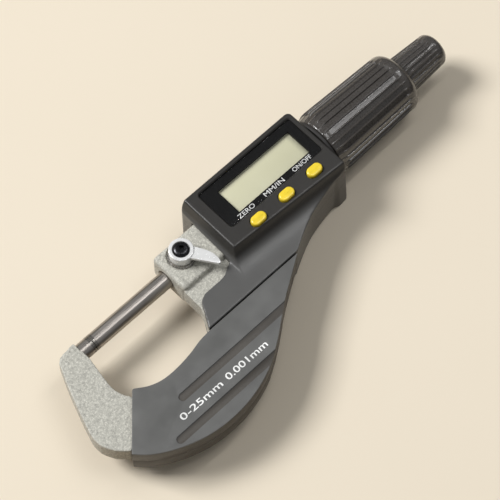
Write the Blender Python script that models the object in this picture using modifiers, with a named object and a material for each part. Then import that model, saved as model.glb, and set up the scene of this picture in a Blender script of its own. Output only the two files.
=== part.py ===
"""Digital outside micrometer, 0 to 25 mm, lying on its back with the display up.

Metres, +Z up. Pieces are drawn from a datum on the spindle axis at the measuring
plane: x runs from the anvil to the ratchet, the bow of the frame is at -y and the
display faces +z. The datum stands so that the middle of the flat back of the
housing lies on the world origin.
"""
import math

import bmesh
import bpy
from mathutils import Vector

MM = 0.001

# Clearances: GAP between pieces that turn, slide or are cut to fit, SEAT where
# flat faces meet.
GAP = 0.3 * MM
SEAT = 0.05 * MM

# Measuring train, along the spindle axis.
RANGE = 25.0 * MM
SPINDLE_D = 6.5 * MM
TIP_T = 1.1 * MM
ANVIL_OUT = 6.1 * MM
ANVIL_SHANK_D = 4.2 * MM
ANVIL_SHANK = 6.0 * MM
CLOSED_GAP = 0.1 * MM
SPINDLE_END_D = 4.4 * MM
KEYWAY_W = 1.8 * MM
KEYWAY_DEPTH = 1.3 * MM

# Frame casting and the covers of its bow.
FRAME_T = 7.8 * MM
ARM_REACH = 24.4 * MM
THROAT_DEPTH = 29.8 * MM
BOW_DEPTH = 56.2 * MM
THROAT_LENGTH = 35.3 * MM
COVER_T = 1.2 * MM
COVER_WALL = 1.5 * MM
SEAM_Y = -26.4 * MM
SEAM_GAP = 0.5 * MM
GROOVE_W = 3.0 * MM
GROOVE_DEPTH = 0.75 * MM
NECK_IN = 6.5 * MM
JOINT_OUT = 18.2 * MM
JOINT_RISE = 15.9 * MM
THROAT_CORNER_OUT = 3.2 * MM
THROAT_CORNER_RISE = 5.1 * MM
SEAM_LEFT_OUT = 4.1 * MM
SEAM_RIGHT_IN = 36.4 * MM
GROOVE_LINES = (-36.5 * MM, -47.2 * MM)

# Block of the frame that guides the spindle.
BOSS_TOP = 5.9 * MM
BOSS_Y_LOW = -9.6 * MM
BOSS_Y_HIGH = 7.2 * MM
BOSS_LENGTH = 24.7 * MM
BOSS_ROUND = 2.6 * MM
REAR_BOSS_IN = 12.0 * MM
REAR_BOSS_L = 9.5 * MM
REAR_BOSS_Z = 6.5 * MM

# Electronics housing.
HOUSING_OFFSET = 21.6 * MM
HOUSING_LENGTH = 51.6 * MM
HOUSING_TOP = 12.0 * MM
HOUSING_BACK = 13.4 * MM
HOUSING_SIDE = 13.8 * MM
HOUSING_WALL = 1.7 * MM
HOUSING_LID = 1.4 * MM
EDGE_ROUND = 0.8 * MM
PLATEAU_Z = 5.6 * MM
RIDGE_Y = -12.4 * MM
RIDGE_LEAN = math.atan2(2.7, 48.0)

# Display and buttons.
BUTTONS = ("button_zero", "button_units", "button_power")
WINDOW_FROM_START = 5.2 * MM
WINDOW_FROM_END = 2.0 * MM
WINDOW_W = 17.2 * MM
WINDOW_Y = 3.05 * MM
WINDOW_T = 0.7 * MM
WINDOW_SINK = 0.3 * MM
WINDOW_ROUND = 1.1 * MM
MASK_T = 1.1 * MM
LCD_L = 34.6 * MM
LCD_W = 11.2 * MM
LCD_Y = 2.75 * MM
LCD_T = 1.4 * MM
LCD_EDGE = 0.8 * MM
LCD_SHIFT = 0.17
BOARD_T = 1.0 * MM
BUTTON_L = 6.6 * MM
BUTTON_W = 4.2 * MM
BUTTON_PITCH = 13.75 * MM
BUTTON_SHIFT = -1.1 * MM
BUTTON_Y = -9.9 * MM
BUTTON_PROUD = 1.3 * MM
BUTTON_TRAVEL = 0.5 * MM
PAD_T = 0.8 * MM

# Encoder.
ENCODER_D = 13.2 * MM
ENCODER_T = 1.0 * MM
HUB_D = 10.0 * MM
HUB_L = 6.6 * MM
KEY_D = 1.2 * MM
KEEPER_T = 1.6 * MM
KEEPER_HALF = 4.6 * MM
KEEPER_TOP = 6.0 * MM

# Battery and its cover, which turns to free its two lugs.
CELL_D = 11.6 * MM
CELL_T = 5.4 * MM
CELL_FROM_END = 20.0 * MM
CELL_SEAT = 0.2 * MM
DOOR_D = 15.2 * MM
DOOR_SINK = 0.2 * MM
LUG_IN = 6.2 * MM
LUG_OUT = 8.5 * MM
LUG_W = 3.2 * MM
LUG_T = 0.8 * MM
STRIP_T = 0.35 * MM
STRIP_W = 2.5 * MM
STRIP_REACH = 3.0 * MM
STRIP_SHIFT = 4.5 * MM

# Sleeve, thimble and ratchet.
SLEEVE_D = 12.0 * MM
SLEEVE_OUT = 29.5 * MM
SLEEVE_IN = 14.0 * MM
NUT_D = 15.6 * MM
NUT_L = 4.6 * MM
COLLAR_D = 24.8 * MM
COLLAR_L = 2.4 * MM
THIMBLE_D = 26.0 * MM
THIMBLE_END_D = 24.0 * MM
THIMBLE_L = 40.4 * MM
TUBE_D = 18.4 * MM
TUBE_T = 1.0 * MM
THIMBLE_WEB = 3.0 * MM
TUBE_FROM_END = 2.0 * MM
SPINDLE_TAIL = 0.6 * MM
FLUTES = 30
FLUTE_DEPTH = 0.5 * MM
FLUTE_SHARES = ((0.0, 0.0), (0.26, 1.0), (0.80, 1.0))
KNOB_D = 14.9 * MM
KNOB_END_D = 13.3 * MM
KNOB_L = 19.6 * MM
KNOB_FLUTES = 24
KNOB_FLUTE_DEPTH = 0.4 * MM
KNOB_SHARES = ((0.0, 0.0), (0.5, 1.0))
TEETH = 12
TOOTH_ROOT_D = 11.4 * MM
TOOTH_TIP_D = 10.0 * MM
PAWL_D = 2.0 * MM
RATCHET_HEAD_D = 7.2 * MM
RATCHET_SCREW_D = 3.0 * MM
RATCHET_SCREW_IN = 7.5 * MM
RATCHET_HEAD_T = 2.6 * MM
KNOB_WEB = 2.2 * MM
KNOB_WEB_IN = 9.4 * MM

# Spindle lock.
LOCK_X = 43.6 * MM
LOCK_Y = 0.8 * MM
LOCK_HUB_D = 8.7 * MM
LOCK_TOP = 11.0 * MM
LEVER_REACH = 14.7 * MM
LEVER_T = 1.7 * MM
LEVER_ANGLE = math.radians(-60.5)
LOCK_HEAD_D = 6.3 * MM
LOCK_SCREW_D = 3.2 * MM
LOCK_SEAT_SINK = 0.6 * MM

# Cross-head screws driven from the back.
SCREW_HEAD_R = 2.3 * MM
SCREW_HEAD_T = 1.4 * MM
SCREW_SHANK_R = 1.2 * MM
BACK_SCREW_SINK = 0.6 * MM
COVER_SCREW_SINK = 0.7 * MM

# Places worked out from the sizes above.
SPINDLE_R = SPINDLE_D / 2
BORE_R = SPINDLE_R + GAP
FRAME_Z = FRAME_T / 2
COVER_IN = FRAME_Z + GAP
COVER_OUT = COVER_IN + COVER_T
BOSS_FACE = THROAT_LENGTH
BOSS_END = BOSS_FACE + BOSS_LENGTH
HOUSING_START = BOSS_FACE + HOUSING_OFFSET
HOUSING_END = HOUSING_START + HOUSING_LENGTH
CAVITY_START = HOUSING_START + HOUSING_WALL
CAVITY_END = HOUSING_END - HOUSING_WALL
LID_IN = HOUSING_TOP - HOUSING_LID
BACK_IN = -HOUSING_BACK + HOUSING_LID
WINDOW_L = HOUSING_LENGTH - WINDOW_FROM_START - WINDOW_FROM_END
WINDOW_X = HOUSING_START + WINDOW_FROM_START + WINDOW_L / 2
LCD_X = (HOUSING_START + HOUSING_END) / 2 + LCD_SHIFT * (HOUSING_LENGTH - LCD_L)
REAR_BOSS_START = HOUSING_END - REAR_BOSS_IN
REAR_BOSS_END = REAR_BOSS_START + REAR_BOSS_L
SLEEVE_R = SLEEVE_D / 2
THIMBLE_START = HOUSING_END + GAP + COLLAR_L + GAP
THIMBLE_END = THIMBLE_START + THIMBLE_L
TUBE_END = THIMBLE_END - TUBE_FROM_END
KNOB_START = THIMBLE_END + GAP
KNOB_END = KNOB_START + KNOB_L
KNOB_WEB_START = KNOB_START + KNOB_WEB_IN
CELL_X = HOUSING_END - CELL_FROM_END
MASK_LOW = HOUSING_TOP - WINDOW_SINK - WINDOW_T - SEAT - MASK_T
LCD_LOW = MASK_LOW - SEAT - LCD_T
BOARD_TOP = LCD_LOW - SEAT - GAP
DEEP_BACK_X = BOSS_FACE + 14.0 * MM
BACK_SCREWS = [(BOSS_FACE + 20.0 * MM, -20.6 * MM), (BOSS_FACE + 34.0 * MM, -20.6 * MM),
               (REAR_BOSS_END - 6.0 * MM, -11.4 * MM)]
COVER_SCREWS = [(-4.0 * MM, -36.5 * MM), (BOSS_FACE + 2.7 * MM, -38.0 * MM)]
DATUM_X = -74.0 * MM
DATUM_Z = HOUSING_BACK

COLOURS = {
    "casting": ((0.50, 0.51, 0.48), 0.45, 0.6),
    "carbide": ((0.30, 0.29, 0.28), 0.30, 1.0),
    "steel": ((0.62, 0.60, 0.58), 0.25, 1.0),
    "chrome": ((0.85, 0.85, 0.86), 0.10, 1.0),
    "brass": ((0.75, 0.58, 0.28), 0.30, 1.0),
    "blackened": ((0.03, 0.03, 0.03), 0.35, 0.8),
    "cover": ((0.090, 0.090, 0.092), 0.45, 0.0),
    "housing": ((0.035, 0.035, 0.038), 0.40, 0.0),
    "grip": ((0.040, 0.038, 0.036), 0.30, 0.0),
    "mask": ((0.005, 0.005, 0.005), 0.15, 0.0),
    "window": ((0.90, 0.92, 0.90), 0.05, 0.0),
    "lcd": ((0.60, 0.64, 0.50), 0.20, 0.0),
    "board": ((0.05, 0.22, 0.10), 0.50, 0.0),
    "rubber": ((0.20, 0.20, 0.20), 0.80, 0.0),
    "button": ((0.95, 0.72, 0.02), 0.35, 0.0),
}


def clear_scene():
    for thing in list(bpy.data.objects):
        bpy.data.objects.remove(thing, do_unlink=True)


def make_collection(name):
    group = bpy.data.collections.new(name)
    bpy.context.scene.collection.children.link(group)
    return group


def make_material(name, look):
    colour, roughness, metallic = COLOURS[look]
    material = bpy.data.materials.new(name)
    material.use_nodes = True
    shader = material.node_tree.nodes["Principled BSDF"]
    shader.inputs["Base Color"].default_value = (*colour, 1.0)
    shader.inputs["Roughness"].default_value = roughness
    shader.inputs["Metallic"].default_value = metallic
    return material


clear_scene()
PARTS = make_collection("digital_outside_micrometer")
CUTTERS = make_collection("cutters")


def make_empty(name, at, parent=None):
    empty = bpy.data.objects.new(name, None)
    empty.empty_display_size = 5 * MM
    empty.location = at
    empty.parent = parent
    PARTS.objects.link(empty)
    return empty


DATUM = make_empty("datum", (DATUM_X, 0, DATUM_Z))


def add(name, mesh, material, at=(0, 0, 0), turn=(0, 0, 0), parent=None):
    """One piece of the model, placed from the datum or from a joint's empty."""
    piece = bpy.data.objects.new(name, mesh)
    piece.parent = parent or DATUM
    piece.location = Vector(at) - (parent.location if parent else Vector())
    piece.rotation_euler = turn
    if material:
        mesh.materials.clear()
        mesh.materials.append(make_material(name, material))
        PARTS.objects.link(piece)
    else:
        CUTTERS.objects.link(piece)
        piece.hide_render = True
        piece.display_type = "WIRE"
    return piece


ALONG_X = (math.pi / 2, 0, math.pi / 2)
TURN_ABOUT_X = (0, math.pi / 2, 0)


def prism(name, outline, low, high, material=None, along_x=False, parent=None, origin=(0, 0)):
    """A flat outline with thickness: in plan from low to high, or a y-z outline along x."""
    curve = bpy.data.curves.new(name, "CURVE")
    curve.dimensions = "2D"
    curve.fill_mode = "BOTH"
    curve.extrude = (high - low) / 2
    spline = curve.splines.new("POLY")
    spline.points.add(len(outline) - 1)
    for point, (u, v) in zip(spline.points, outline):
        point.co = (u - origin[0], v - origin[1], 0, 1)
    spline.use_cyclic_u = True
    flat = bpy.data.objects.new(name + "_outline", curve)
    CUTTERS.objects.link(flat)
    bpy.context.view_layer.update()
    mesh = bpy.data.meshes.new_from_object(flat.evaluated_get(bpy.context.evaluated_depsgraph_get()))
    bpy.data.objects.remove(flat, do_unlink=True)
    mesh.name = name
    form = bmesh.new()
    form.from_mesh(mesh)
    bmesh.ops.remove_doubles(form, verts=form.verts, dist=1e-6)
    bmesh.ops.dissolve_limit(form, angle_limit=0.002, verts=form.verts, edges=form.edges)
    bmesh.ops.recalc_face_normals(form, faces=form.faces)
    form.to_mesh(mesh)
    form.free()
    middle = (low + high) / 2
    if along_x:
        return add(name, mesh, material, (middle, origin[0], origin[1]), ALONG_X, parent)
    return add(name, mesh, material, (origin[0], origin[1], middle), (0, 0, 0), parent)


def turned(name, profile, material=None, at=(0, 0, 0), about_x=True, steps=32, parent=None):
    """A turned piece: (along, radius) points down the outer side, closed at axis or bore."""
    mesh = bpy.data.meshes.new(name)
    form = bmesh.new()
    points = [form.verts.new((radius, 0, along)) for along, radius in profile]
    for first, second in zip(points, points[1:]):
        form.edges.new((first, second))
    if profile[0][1] > 0:
        form.edges.new((points[-1], points[0]))
    form.to_mesh(mesh)
    form.free()
    piece = add(name, mesh, material, at, TURN_ABOUT_X if about_x else (0, 0, 0), parent)
    screw = piece.modifiers.new("turn", "SCREW")
    screw.steps = steps
    screw.render_steps = steps
    screw.use_merge_vertices = True
    screw.merge_threshold = 1e-6
    return piece


def rod(name, start, end, radius, material=None, at=(0, 0, 0), about_x=True, steps=32, parent=None):
    return turned(name, [(end, 0), (end, radius), (start, radius), (start, 0)],
                  material, at, about_x, steps, parent)


def ring(name, start, end, outer, inner, material=None, at=(0, 0, 0), about_x=True, steps=32,
         parent=None):
    return turned(name, [(end, outer), (start, outer), (start, inner), (end, inner)],
                  material, at, about_x, steps, parent)


def block(name, low, high, material=None, edge=0.0, segments=2, parent=None, turn=(0, 0, 0)):
    """A box between two corners, with rounded edges where edge is given."""
    mesh = bpy.data.meshes.new(name)
    size = Vector(high) - Vector(low)
    form = bmesh.new()
    bmesh.ops.create_cube(form, size=1.0)
    bmesh.ops.scale(form, vec=size, verts=form.verts)
    form.to_mesh(mesh)
    form.free()
    piece = add(name, mesh, material, (Vector(low) + Vector(high)) / 2, turn, parent)
    if edge:
        round_edges(piece, edge, segments)
    return piece


def round_edges(piece, width, segments=2, angle=35.0):
    bevel = piece.modifiers.new("round", "BEVEL")
    bevel.width = width
    bevel.segments = segments
    bevel.limit_method = "ANGLE"
    bevel.angle_limit = math.radians(angle)


def round_rim(piece, side, width, segments=2):
    """Round the edge of one end face of a prism: side is 1 for its high end, -1 for its low."""
    form = bmesh.new()
    form.from_mesh(piece.data)
    end = side * max(side * vertex.co.z for vertex in form.verts)
    rim = [edge for edge in form.edges if all(abs(v.co.z - end) < 1e-7 for v in edge.verts)]
    bmesh.ops.bevel(form, geom=rim, offset=width, offset_type="OFFSET", segments=segments,
                    profile=0.5, affect="EDGES")
    form.to_mesh(piece.data)
    form.free()


def combine(piece, other, operation):
    step = piece.modifiers.new(other.name, "BOOLEAN")
    step.operation = operation
    step.solver = "EXACT"
    step.object = other


def cut(piece, *cutters):
    for cutter in cutters:
        combine(piece, cutter, "DIFFERENCE")


def join(piece, *others):
    for other in others:
        combine(piece, other, "UNION")


def smooth(points, steps=4):
    """A Catmull-Rom curve through the points of an open stretch."""
    ends = [points[0]] + list(points) + [points[-1]]
    path = []
    for a, b, c, d in zip(ends, ends[1:], ends[2:], ends[3:]):
        for i in range(steps):
            t = i / steps
            path.append(tuple(
                0.5 * (2 * q + (r - p) * t + (2 * p - 5 * q + 4 * r - s) * t * t
                       + (3 * q - p - 3 * r + s) * t ** 3)
                for p, q, r, s in zip(a, b, c, d)))
    return path + [points[-1]]


def arc(centre, radius, start, end, steps=8):
    """Points of an arc in degrees, either way round."""
    angles = [math.radians(start + (end - start) * i / steps) for i in range(steps + 1)]
    return [(centre[0] + radius * math.cos(a), centre[1] + radius * math.sin(a)) for a in angles]


def rounded(low, high, radius, steps=4):
    """A rectangle in plan with round corners."""
    (x0, y0), (x1, y1) = low, high
    return (arc((x1 - radius, y1 - radius), radius, 0, 90, steps)
            + arc((x0 + radius, y1 - radius), radius, 90, 180, steps)
            + arc((x0 + radius, y0 + radius), radius, 180, 270, steps)
            + arc((x1 - radius, y0 + radius), radius, 270, 360, steps))


def offset(outline, distance):
    """The outline moved outwards by distance, for one that runs anticlockwise."""
    moved = []
    count = len(outline)
    for i, point in enumerate(outline):
        before = Vector(point) - Vector(outline[i - 1])
        after = Vector(outline[(i + 1) % count]) - Vector(point)
        first = Vector((before.y, -before.x)).normalized()
        second = Vector((after.y, -after.x)).normalized()
        lean = (first + second).normalized()
        reach = distance / max(0.5, lean.dot(first))
        moved.append((point[0] + lean.x * reach, point[1] + lean.y * reach))
    return moved


def mm(*points):
    return [(x * MM, y * MM) for x, y in points]


# Outlines of the frame, anticlockwise in plan, from the datum.
COVER_TOP_CORNER = (-THROAT_CORNER_OUT, -THROAT_DEPTH + THROAT_CORNER_RISE)
COVER_LOW_CORNER = (-JOINT_OUT, -BOW_DEPTH + JOINT_RISE)
SEAM_LEFT = (BOSS_FACE - SEAM_LEFT_OUT, SEAM_Y)
SEAM_RIGHT = (BOSS_FACE + SEAM_RIGHT_IN, SEAM_Y)


def bow_outer():
    """Outer edge of the bow, from the arm to the seam."""
    drop = -BOW_DEPTH
    reach = BOSS_FACE
    return smooth([COVER_LOW_CORNER, (-11.2 * MM, drop + 9.2 * MM), (-4.0 * MM, drop + 4.3 * MM),
                   (0.13 * reach, drop + 1.1 * MM), (0.425 * reach, drop), (0.71 * reach, drop + 1.3 * MM),
                   (reach - 0.3 * MM, drop + 5.4 * MM), (reach + 12.5 * MM, drop + 13.4 * MM),
                   (reach + 21.1 * MM, drop + 19.3 * MM), SEAM_RIGHT], 3)


def bow_inner():
    """Inner edge of the bow, from the seam back to the arm."""
    drop = -THROAT_DEPTH
    reach = BOSS_FACE
    return smooth([SEAM_LEFT, (0.735 * reach, drop + 2.6 * MM), (0.57 * reach, drop + 1.1 * MM),
                   (0.385 * reach, drop), (0.205 * reach, drop + 0.2 * MM),
                   (0.055 * reach, drop + 2.2 * MM), COVER_TOP_CORNER], 3)


def arm_inner():
    """Inner face of the arm, from the bow up to the anvil."""
    return smooth([(-3.9 * MM, -THROAT_DEPTH + 4.4 * MM), (-5.6 * MM, -THROAT_DEPTH + 6.2 * MM),
                   (-7.3 * MM, -16.5 * MM), (-7.5 * MM, -10.5 * MM), (-ANVIL_OUT, -2.0 * MM)], 3)


def arm_outer():
    """Back of the arm, from its end down to the bow."""
    return ([(-ANVIL_OUT, 3.1 * MM)] + mm((-12.2, 2.3), (-14.0, 0.8))
            + smooth([(-14.6 * MM, -0.8 * MM), (-17.3 * MM, -6.8 * MM), (-20.6 * MM, -14.4 * MM),
                      (-ARM_REACH, -26.4 * MM), (0.4 * MM - ARM_REACH, -33.4 * MM),
                      (2.6 * MM - ARM_REACH, -37.4 * MM), COVER_LOW_CORNER], 3))


def bow_outline():
    return bow_outer() + bow_inner()


def arm_joint(inset, back, forward):
    """Strip across the joint of arm and bow, inset from both edges, anticlockwise."""
    top, low = Vector(COVER_TOP_CORNER), Vector(COVER_LOW_CORNER)
    along = (low - top).normalized()
    across = Vector((-along.y, along.x))
    top, low = top + along * inset, low - along * inset
    return [tuple(p) for p in (low - across * back, low + across * forward,
                               top + across * forward, top - across * back)]


def arm_outline():
    """The bare arm, running a little way in under the covers."""
    shoulders = arm_joint(0, GAP, 0)
    tongue = arm_joint(COVER_WALL + 1.1 * MM, GAP, 2.8 * MM)
    return arm_outer()[:-1] + [shoulders[0]] + tongue + [shoulders[3]] + arm_inner()[1:]


def throat_side():
    """Bare edge of the casting between the spindle block and the seam."""
    return [(BOSS_FACE, BOSS_Y_LOW), (BOSS_FACE, SEAM_Y + 8.8 * MM),
            (BOSS_FACE - 1.3 * MM, SEAM_Y + 5.4 * MM), (SEAM_LEFT[0] + 0.2 * MM, SEAM_Y + GAP)]


def core_outline():
    """The casting under the covers and in the housing."""
    inset = offset(bow_outline(), -COVER_WALL - GAP)
    split = len(bow_outer())
    neck_left = SEAM_LEFT[0] + COVER_WALL + GAP
    neck_right = SEAM_RIGHT[0] - NECK_IN
    low, high = BOSS_Y_LOW, BOSS_Y_LOW + 2.0 * MM
    sill = SEAM_Y - COVER_WALL - GAP
    bridge = [(neck_right, sill), (neck_right, SEAM_Y + 2.6 * MM),
              (BOSS_FACE + 52.0 * MM, -17.4 * MM), (REAR_BOSS_END, -13.4 * MM),
              (REAR_BOSS_END, high), (REAR_BOSS_START, high), (REAR_BOSS_START, low),
              (BOSS_END, low), (BOSS_END, high), (BOSS_FACE + 1.0 * MM, high)]
    return (inset[1:split - 2] + bridge + throat_side()
            + [(neck_left, SEAM_Y + GAP), (neck_left, sill)] + inset[split + 1:-1])


def neck_opening(grow):
    """Where the casting passes from the bow into the housing."""
    return ((SEAM_LEFT[0] + COVER_WALL + GAP - grow, SEAM_Y - 4 * MM),
            (SEAM_RIGHT[0] - NECK_IN + grow, SEAM_Y + 4 * MM))


def housing_outline(grow=0.0):
    """Plan of the housing, from the throat round the display to the seam."""
    end = HOUSING_END
    front = BOSS_FACE
    side = HOUSING_SIDE
    outline = ([(front - 3.9 * MM, SEAM_Y + SEAM_GAP), (front + 36.6 * MM, SEAM_Y + SEAM_GAP)]
               + smooth([(front + 38.4 * MM, SEAM_Y + 1.2 * MM), (front + 45.0 * MM, -21.9 * MM),
                         (front + 53.0 * MM, -18.7 * MM), (end - 10.0 * MM, -16.6 * MM),
                         (end - 1.2 * MM, -15.7 * MM)], 3)
               + [(end, -14.6 * MM)]
               + arc((end - 2.0 * MM, side - 2.0 * MM), 2.0 * MM, 0, 90, 4)
               + arc((HOUSING_START, side - 2.0 * MM), 2.0 * MM, 90, 180, 4)
               + [(HOUSING_START - 2.6 * MM, -12.5 * MM), (front + 14.0 * MM, -15.2 * MM),
                  (front + 11.0 * MM, -15.6 * MM)]
               + smooth([(front + 4.0 * MM, -15.6 * MM), (front + 1.3 * MM, -16.9 * MM),
                         (front - 0.3 * MM, -19.6 * MM)], 3))
    return offset(outline, grow) if grow else outline


def make_frame():
    """The casting: arm, bow core, spindle block and bridge to the rear block."""
    frame = prism("frame", arm_outline(), -FRAME_Z, FRAME_Z, "casting")
    round_edges(frame, 0.9 * MM, 2, 50)
    core = prism("frame_core", core_outline(), -FRAME_Z, FRAME_Z)
    boss = block("frame_boss", (BOSS_FACE, BOSS_Y_LOW, -BOSS_TOP), (BOSS_END, BOSS_Y_HIGH, BOSS_TOP),
                 edge=BOSS_ROUND, segments=3)
    rear = block("frame_rear", (REAR_BOSS_START, BOSS_Y_LOW - 1.0 * MM, -REAR_BOSS_Z),
                 (REAR_BOSS_END, SLEEVE_R + 2.6 * MM, REAR_BOSS_Z), edge=1.0 * MM)
    join(frame, core, boss, rear)
    reach = ANVIL_OUT + ANVIL_SHANK
    recess = LOCK_HUB_D / 2 + 1.1 * MM
    hole = LOCK_SCREW_D / 2 + GAP
    cut(frame,
        rod("anvil_hole", -reach - GAP, 1 * MM - ANVIL_OUT, ANVIL_SHANK_D / 2 + GAP, steps=24),
        rod("spindle_hole", BOSS_FACE - 1 * MM, BOSS_END + 1 * MM, BORE_R),
        rod("sleeve_hole", REAR_BOSS_START - 1 * MM, REAR_BOSS_END + 1 * MM, SLEEVE_R + GAP),
        turned("lock_hole", [(BOSS_TOP + 1 * MM, 0), (BOSS_TOP + 1 * MM, recess),
                             (BOSS_TOP - LOCK_SEAT_SINK, recess), (BOSS_TOP - LOCK_SEAT_SINK, hole),
                             (0, hole), (0, 0)], at=(LOCK_X, LOCK_Y, 0), about_x=False, steps=28))
    for i, (x, y) in enumerate(BACK_SCREWS + COVER_SCREWS):
        cut(frame, rod(f"frame_screw_hole_{i + 1}", -REAR_BOSS_Z - 1 * MM, FRAME_Z + 1 * MM,
                       SCREW_SHANK_R + GAP, at=(x, y, 0), about_x=False, steps=12))


def make_anvil():
    reach = ANVIL_OUT + ANVIL_SHANK
    turned("anvil", [(-TIP_T - SEAT, 0), (-TIP_T - SEAT, SPINDLE_R), (-ANVIL_OUT + GAP, SPINDLE_R),
                     (-ANVIL_OUT + GAP, ANVIL_SHANK_D / 2), (-reach, ANVIL_SHANK_D / 2),
                     (-reach, 0)], "steel", steps=24)
    rod("anvil_tip", -TIP_T, 0, SPINDLE_R, "carbide")


def make_spindle(axis):
    start = CLOSED_GAP + TIP_T + SEAT
    shoulder = TUBE_END - THIMBLE_WEB - GAP
    end = THIMBLE_END + SPINDLE_TAIL
    spindle = turned("spindle", [(end, 0), (end, SPINDLE_END_D / 2), (shoulder, SPINDLE_END_D / 2),
                                 (shoulder - 1.0 * MM, SPINDLE_R), (start, SPINDLE_R), (start, 0)],
                     "steel", parent=axis)
    rod("spindle_tip", CLOSED_GAP, CLOSED_GAP + TIP_T, SPINDLE_R, "carbide", parent=axis)
    key_x = BOSS_END + 2 * ENCODER_T + 1.4 * MM + HUB_L / 2
    cut(spindle,
        block("keyway", (key_x - RANGE - 2 * MM, -KEYWAY_W / 2, -SPINDLE_R - 1 * MM),
              (key_x + 2 * MM, KEYWAY_W / 2, KEYWAY_DEPTH - SPINDLE_R), parent=axis),
        rod("ratchet_screw_hole", THIMBLE_END - RATCHET_SCREW_IN - 3 * GAP, end + 1 * MM,
            RATCHET_SCREW_D / 2 + GAP, steps=24, parent=axis))


def make_sleeve():
    start = HOUSING_END - SLEEVE_IN
    end = HOUSING_END + SLEEVE_OUT
    ring("threaded_sleeve", start, end, SLEEVE_R, BORE_R, "steel", steps=24)
    ring("adjusting_nut", end - NUT_L - 1 * MM, end - 1 * MM, NUT_D / 2, SLEEVE_R + GAP, "steel",
         steps=20)
    turned("sleeve_collar", [(HOUSING_END + GAP + COLLAR_L, COLLAR_D / 2 - 0.4 * MM),
                             (HOUSING_END + GAP + COLLAR_L - 0.4 * MM, COLLAR_D / 2),
                             (HOUSING_END + GAP, COLLAR_D / 2), (HOUSING_END + GAP, SLEEVE_R + GAP),
                             (HOUSING_END + GAP + COLLAR_L, SLEEVE_R + GAP)], "grip", steps=28)


def loft(name, rings, material, parent=None):
    """A closed shell bridged through rings of points, the last back to the first."""
    mesh = bpy.data.meshes.new(name)
    form = bmesh.new()
    loops = [[form.verts.new(point) for point in points] for points in rings]
    count = len(loops[0])
    for here, there in zip(loops, loops[1:] + loops[:1]):
        for i in range(count):
            j = (i + 1) % count
            form.faces.new((here[i], here[j], there[j], there[i]))
    bmesh.ops.recalc_face_normals(form, faces=form.faces)
    form.to_mesh(mesh)
    form.free()
    mesh.shade_smooth()
    mesh.set_sharp_from_angle(angle=math.radians(30))
    return add(name, mesh, material, parent=parent)


def fluted_ring(along, radius, depth, flutes, shares):
    """A section across the axis: shares give each flute's points as (place, depth)."""
    points = []
    for flute in range(flutes):
        for share, sink in shares:
            turn = 2 * math.pi * (flute + share) / flutes
            r = radius - depth * sink
            points.append((along, r * math.cos(turn), r * math.sin(turn)))
    return points


def make_thimble(axis):
    tube_r = TUBE_D / 2
    turned("thimble_tube", [(TUBE_END, tube_r), (THIMBLE_START + 1.5 * MM, tube_r),
                            (THIMBLE_START + 1.5 * MM, tube_r - TUBE_T),
                            (TUBE_END - THIMBLE_WEB, tube_r - TUBE_T),
                            (TUBE_END - THIMBLE_WEB, SPINDLE_END_D / 2 + GAP),
                            (TUBE_END, SPINDLE_END_D / 2 + GAP)], "steel", steps=20,
           parent=axis)
    bore = tube_r + GAP
    full = THIMBLE_D / 2
    last = THIMBLE_END_D / 2
    start, end = THIMBLE_START, THIMBLE_END
    hole = SPINDLE_END_D / 2 + GAP
    stations = [(start, full - 1.4 * MM, 0), (start + 0.6 * MM, full - 0.7 * MM, 0),
                (start + 2.4 * MM, full, 0), (start + 3.3 * MM, full, FLUTE_DEPTH),
                (end - 5.0 * MM, last, FLUTE_DEPTH), (end - 4.0 * MM, last, 0),
                (end - 1.4 * MM, last - 0.9 * MM, 0), (end, last - 3.0 * MM, 0),
                (end, hole, 0), (TUBE_END + GAP, hole, 0), (TUBE_END + GAP, bore, 0),
                (start, bore, 0)]
    loft("thimble_grip", [fluted_ring(x, r, d, FLUTES, FLUTE_SHARES) for x, r, d in stations],
         "grip", axis)


def make_ratchet(axis):
    start, end = KNOB_START, KNOB_END
    web, web_end = KNOB_WEB_START, KNOB_WEB_START + KNOB_WEB
    full = KNOB_D / 2
    last = KNOB_END_D / 2
    head_r = RATCHET_HEAD_D / 2
    bore = RATCHET_SCREW_D / 2 + GAP
    stations = [(start, full - 0.6 * MM, 0), (start + 0.6 * MM, full, KNOB_FLUTE_DEPTH),
                (end - 4.2 * MM, last, KNOB_FLUTE_DEPTH), (end - 2.6 * MM, last - 0.3 * MM, 0),
                (end - 1.0 * MM, last - 1.2 * MM, 0), (end, last - 2.4 * MM, 0),
                (end, head_r + GAP, 0), (web_end, head_r + GAP, 0), (web_end, bore, 0),
                (web, bore, 0), (web, TOOTH_TIP_D / 2 - GAP, 0),
                (start, TOOTH_TIP_D / 2 - GAP, 0)]
    knob = loft("ratchet_knob",
                [fluted_ring(x, r, d, KNOB_FLUTES, KNOB_SHARES) for x, r, d in stations], "grip", axis)
    tooth = []
    for i in range(TEETH):
        for share, radius in ((0.0, TOOTH_TIP_D / 2), (0.75, TOOTH_ROOT_D / 2)):
            turn = 2 * math.pi * (i + share) / TEETH
            tooth.append((radius * math.cos(turn), radius * math.sin(turn)))
    cut(knob, prism("tooth_ring", tooth, start - 1 * MM, web - 0.2 * MM, along_x=True, parent=axis))
    hub_r = TOOTH_TIP_D / 2 - 2 * GAP
    hub_start = THIMBLE_END + SPINDLE_TAIL + GAP
    hub = ring("ratchet_hub", hub_start, web - GAP, hub_r, bore, "steel", steps=32, parent=axis)
    pawl_x = (hub_start + web) / 2
    cut(hub, rod("pawl_hole", bore + 0.2 * MM, hub_r + 1 * MM, PAWL_D / 2 + GAP,
                 at=(pawl_x, 0, 0), about_x=False, steps=20, parent=axis))
    return pawl_x, hub_r


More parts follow.
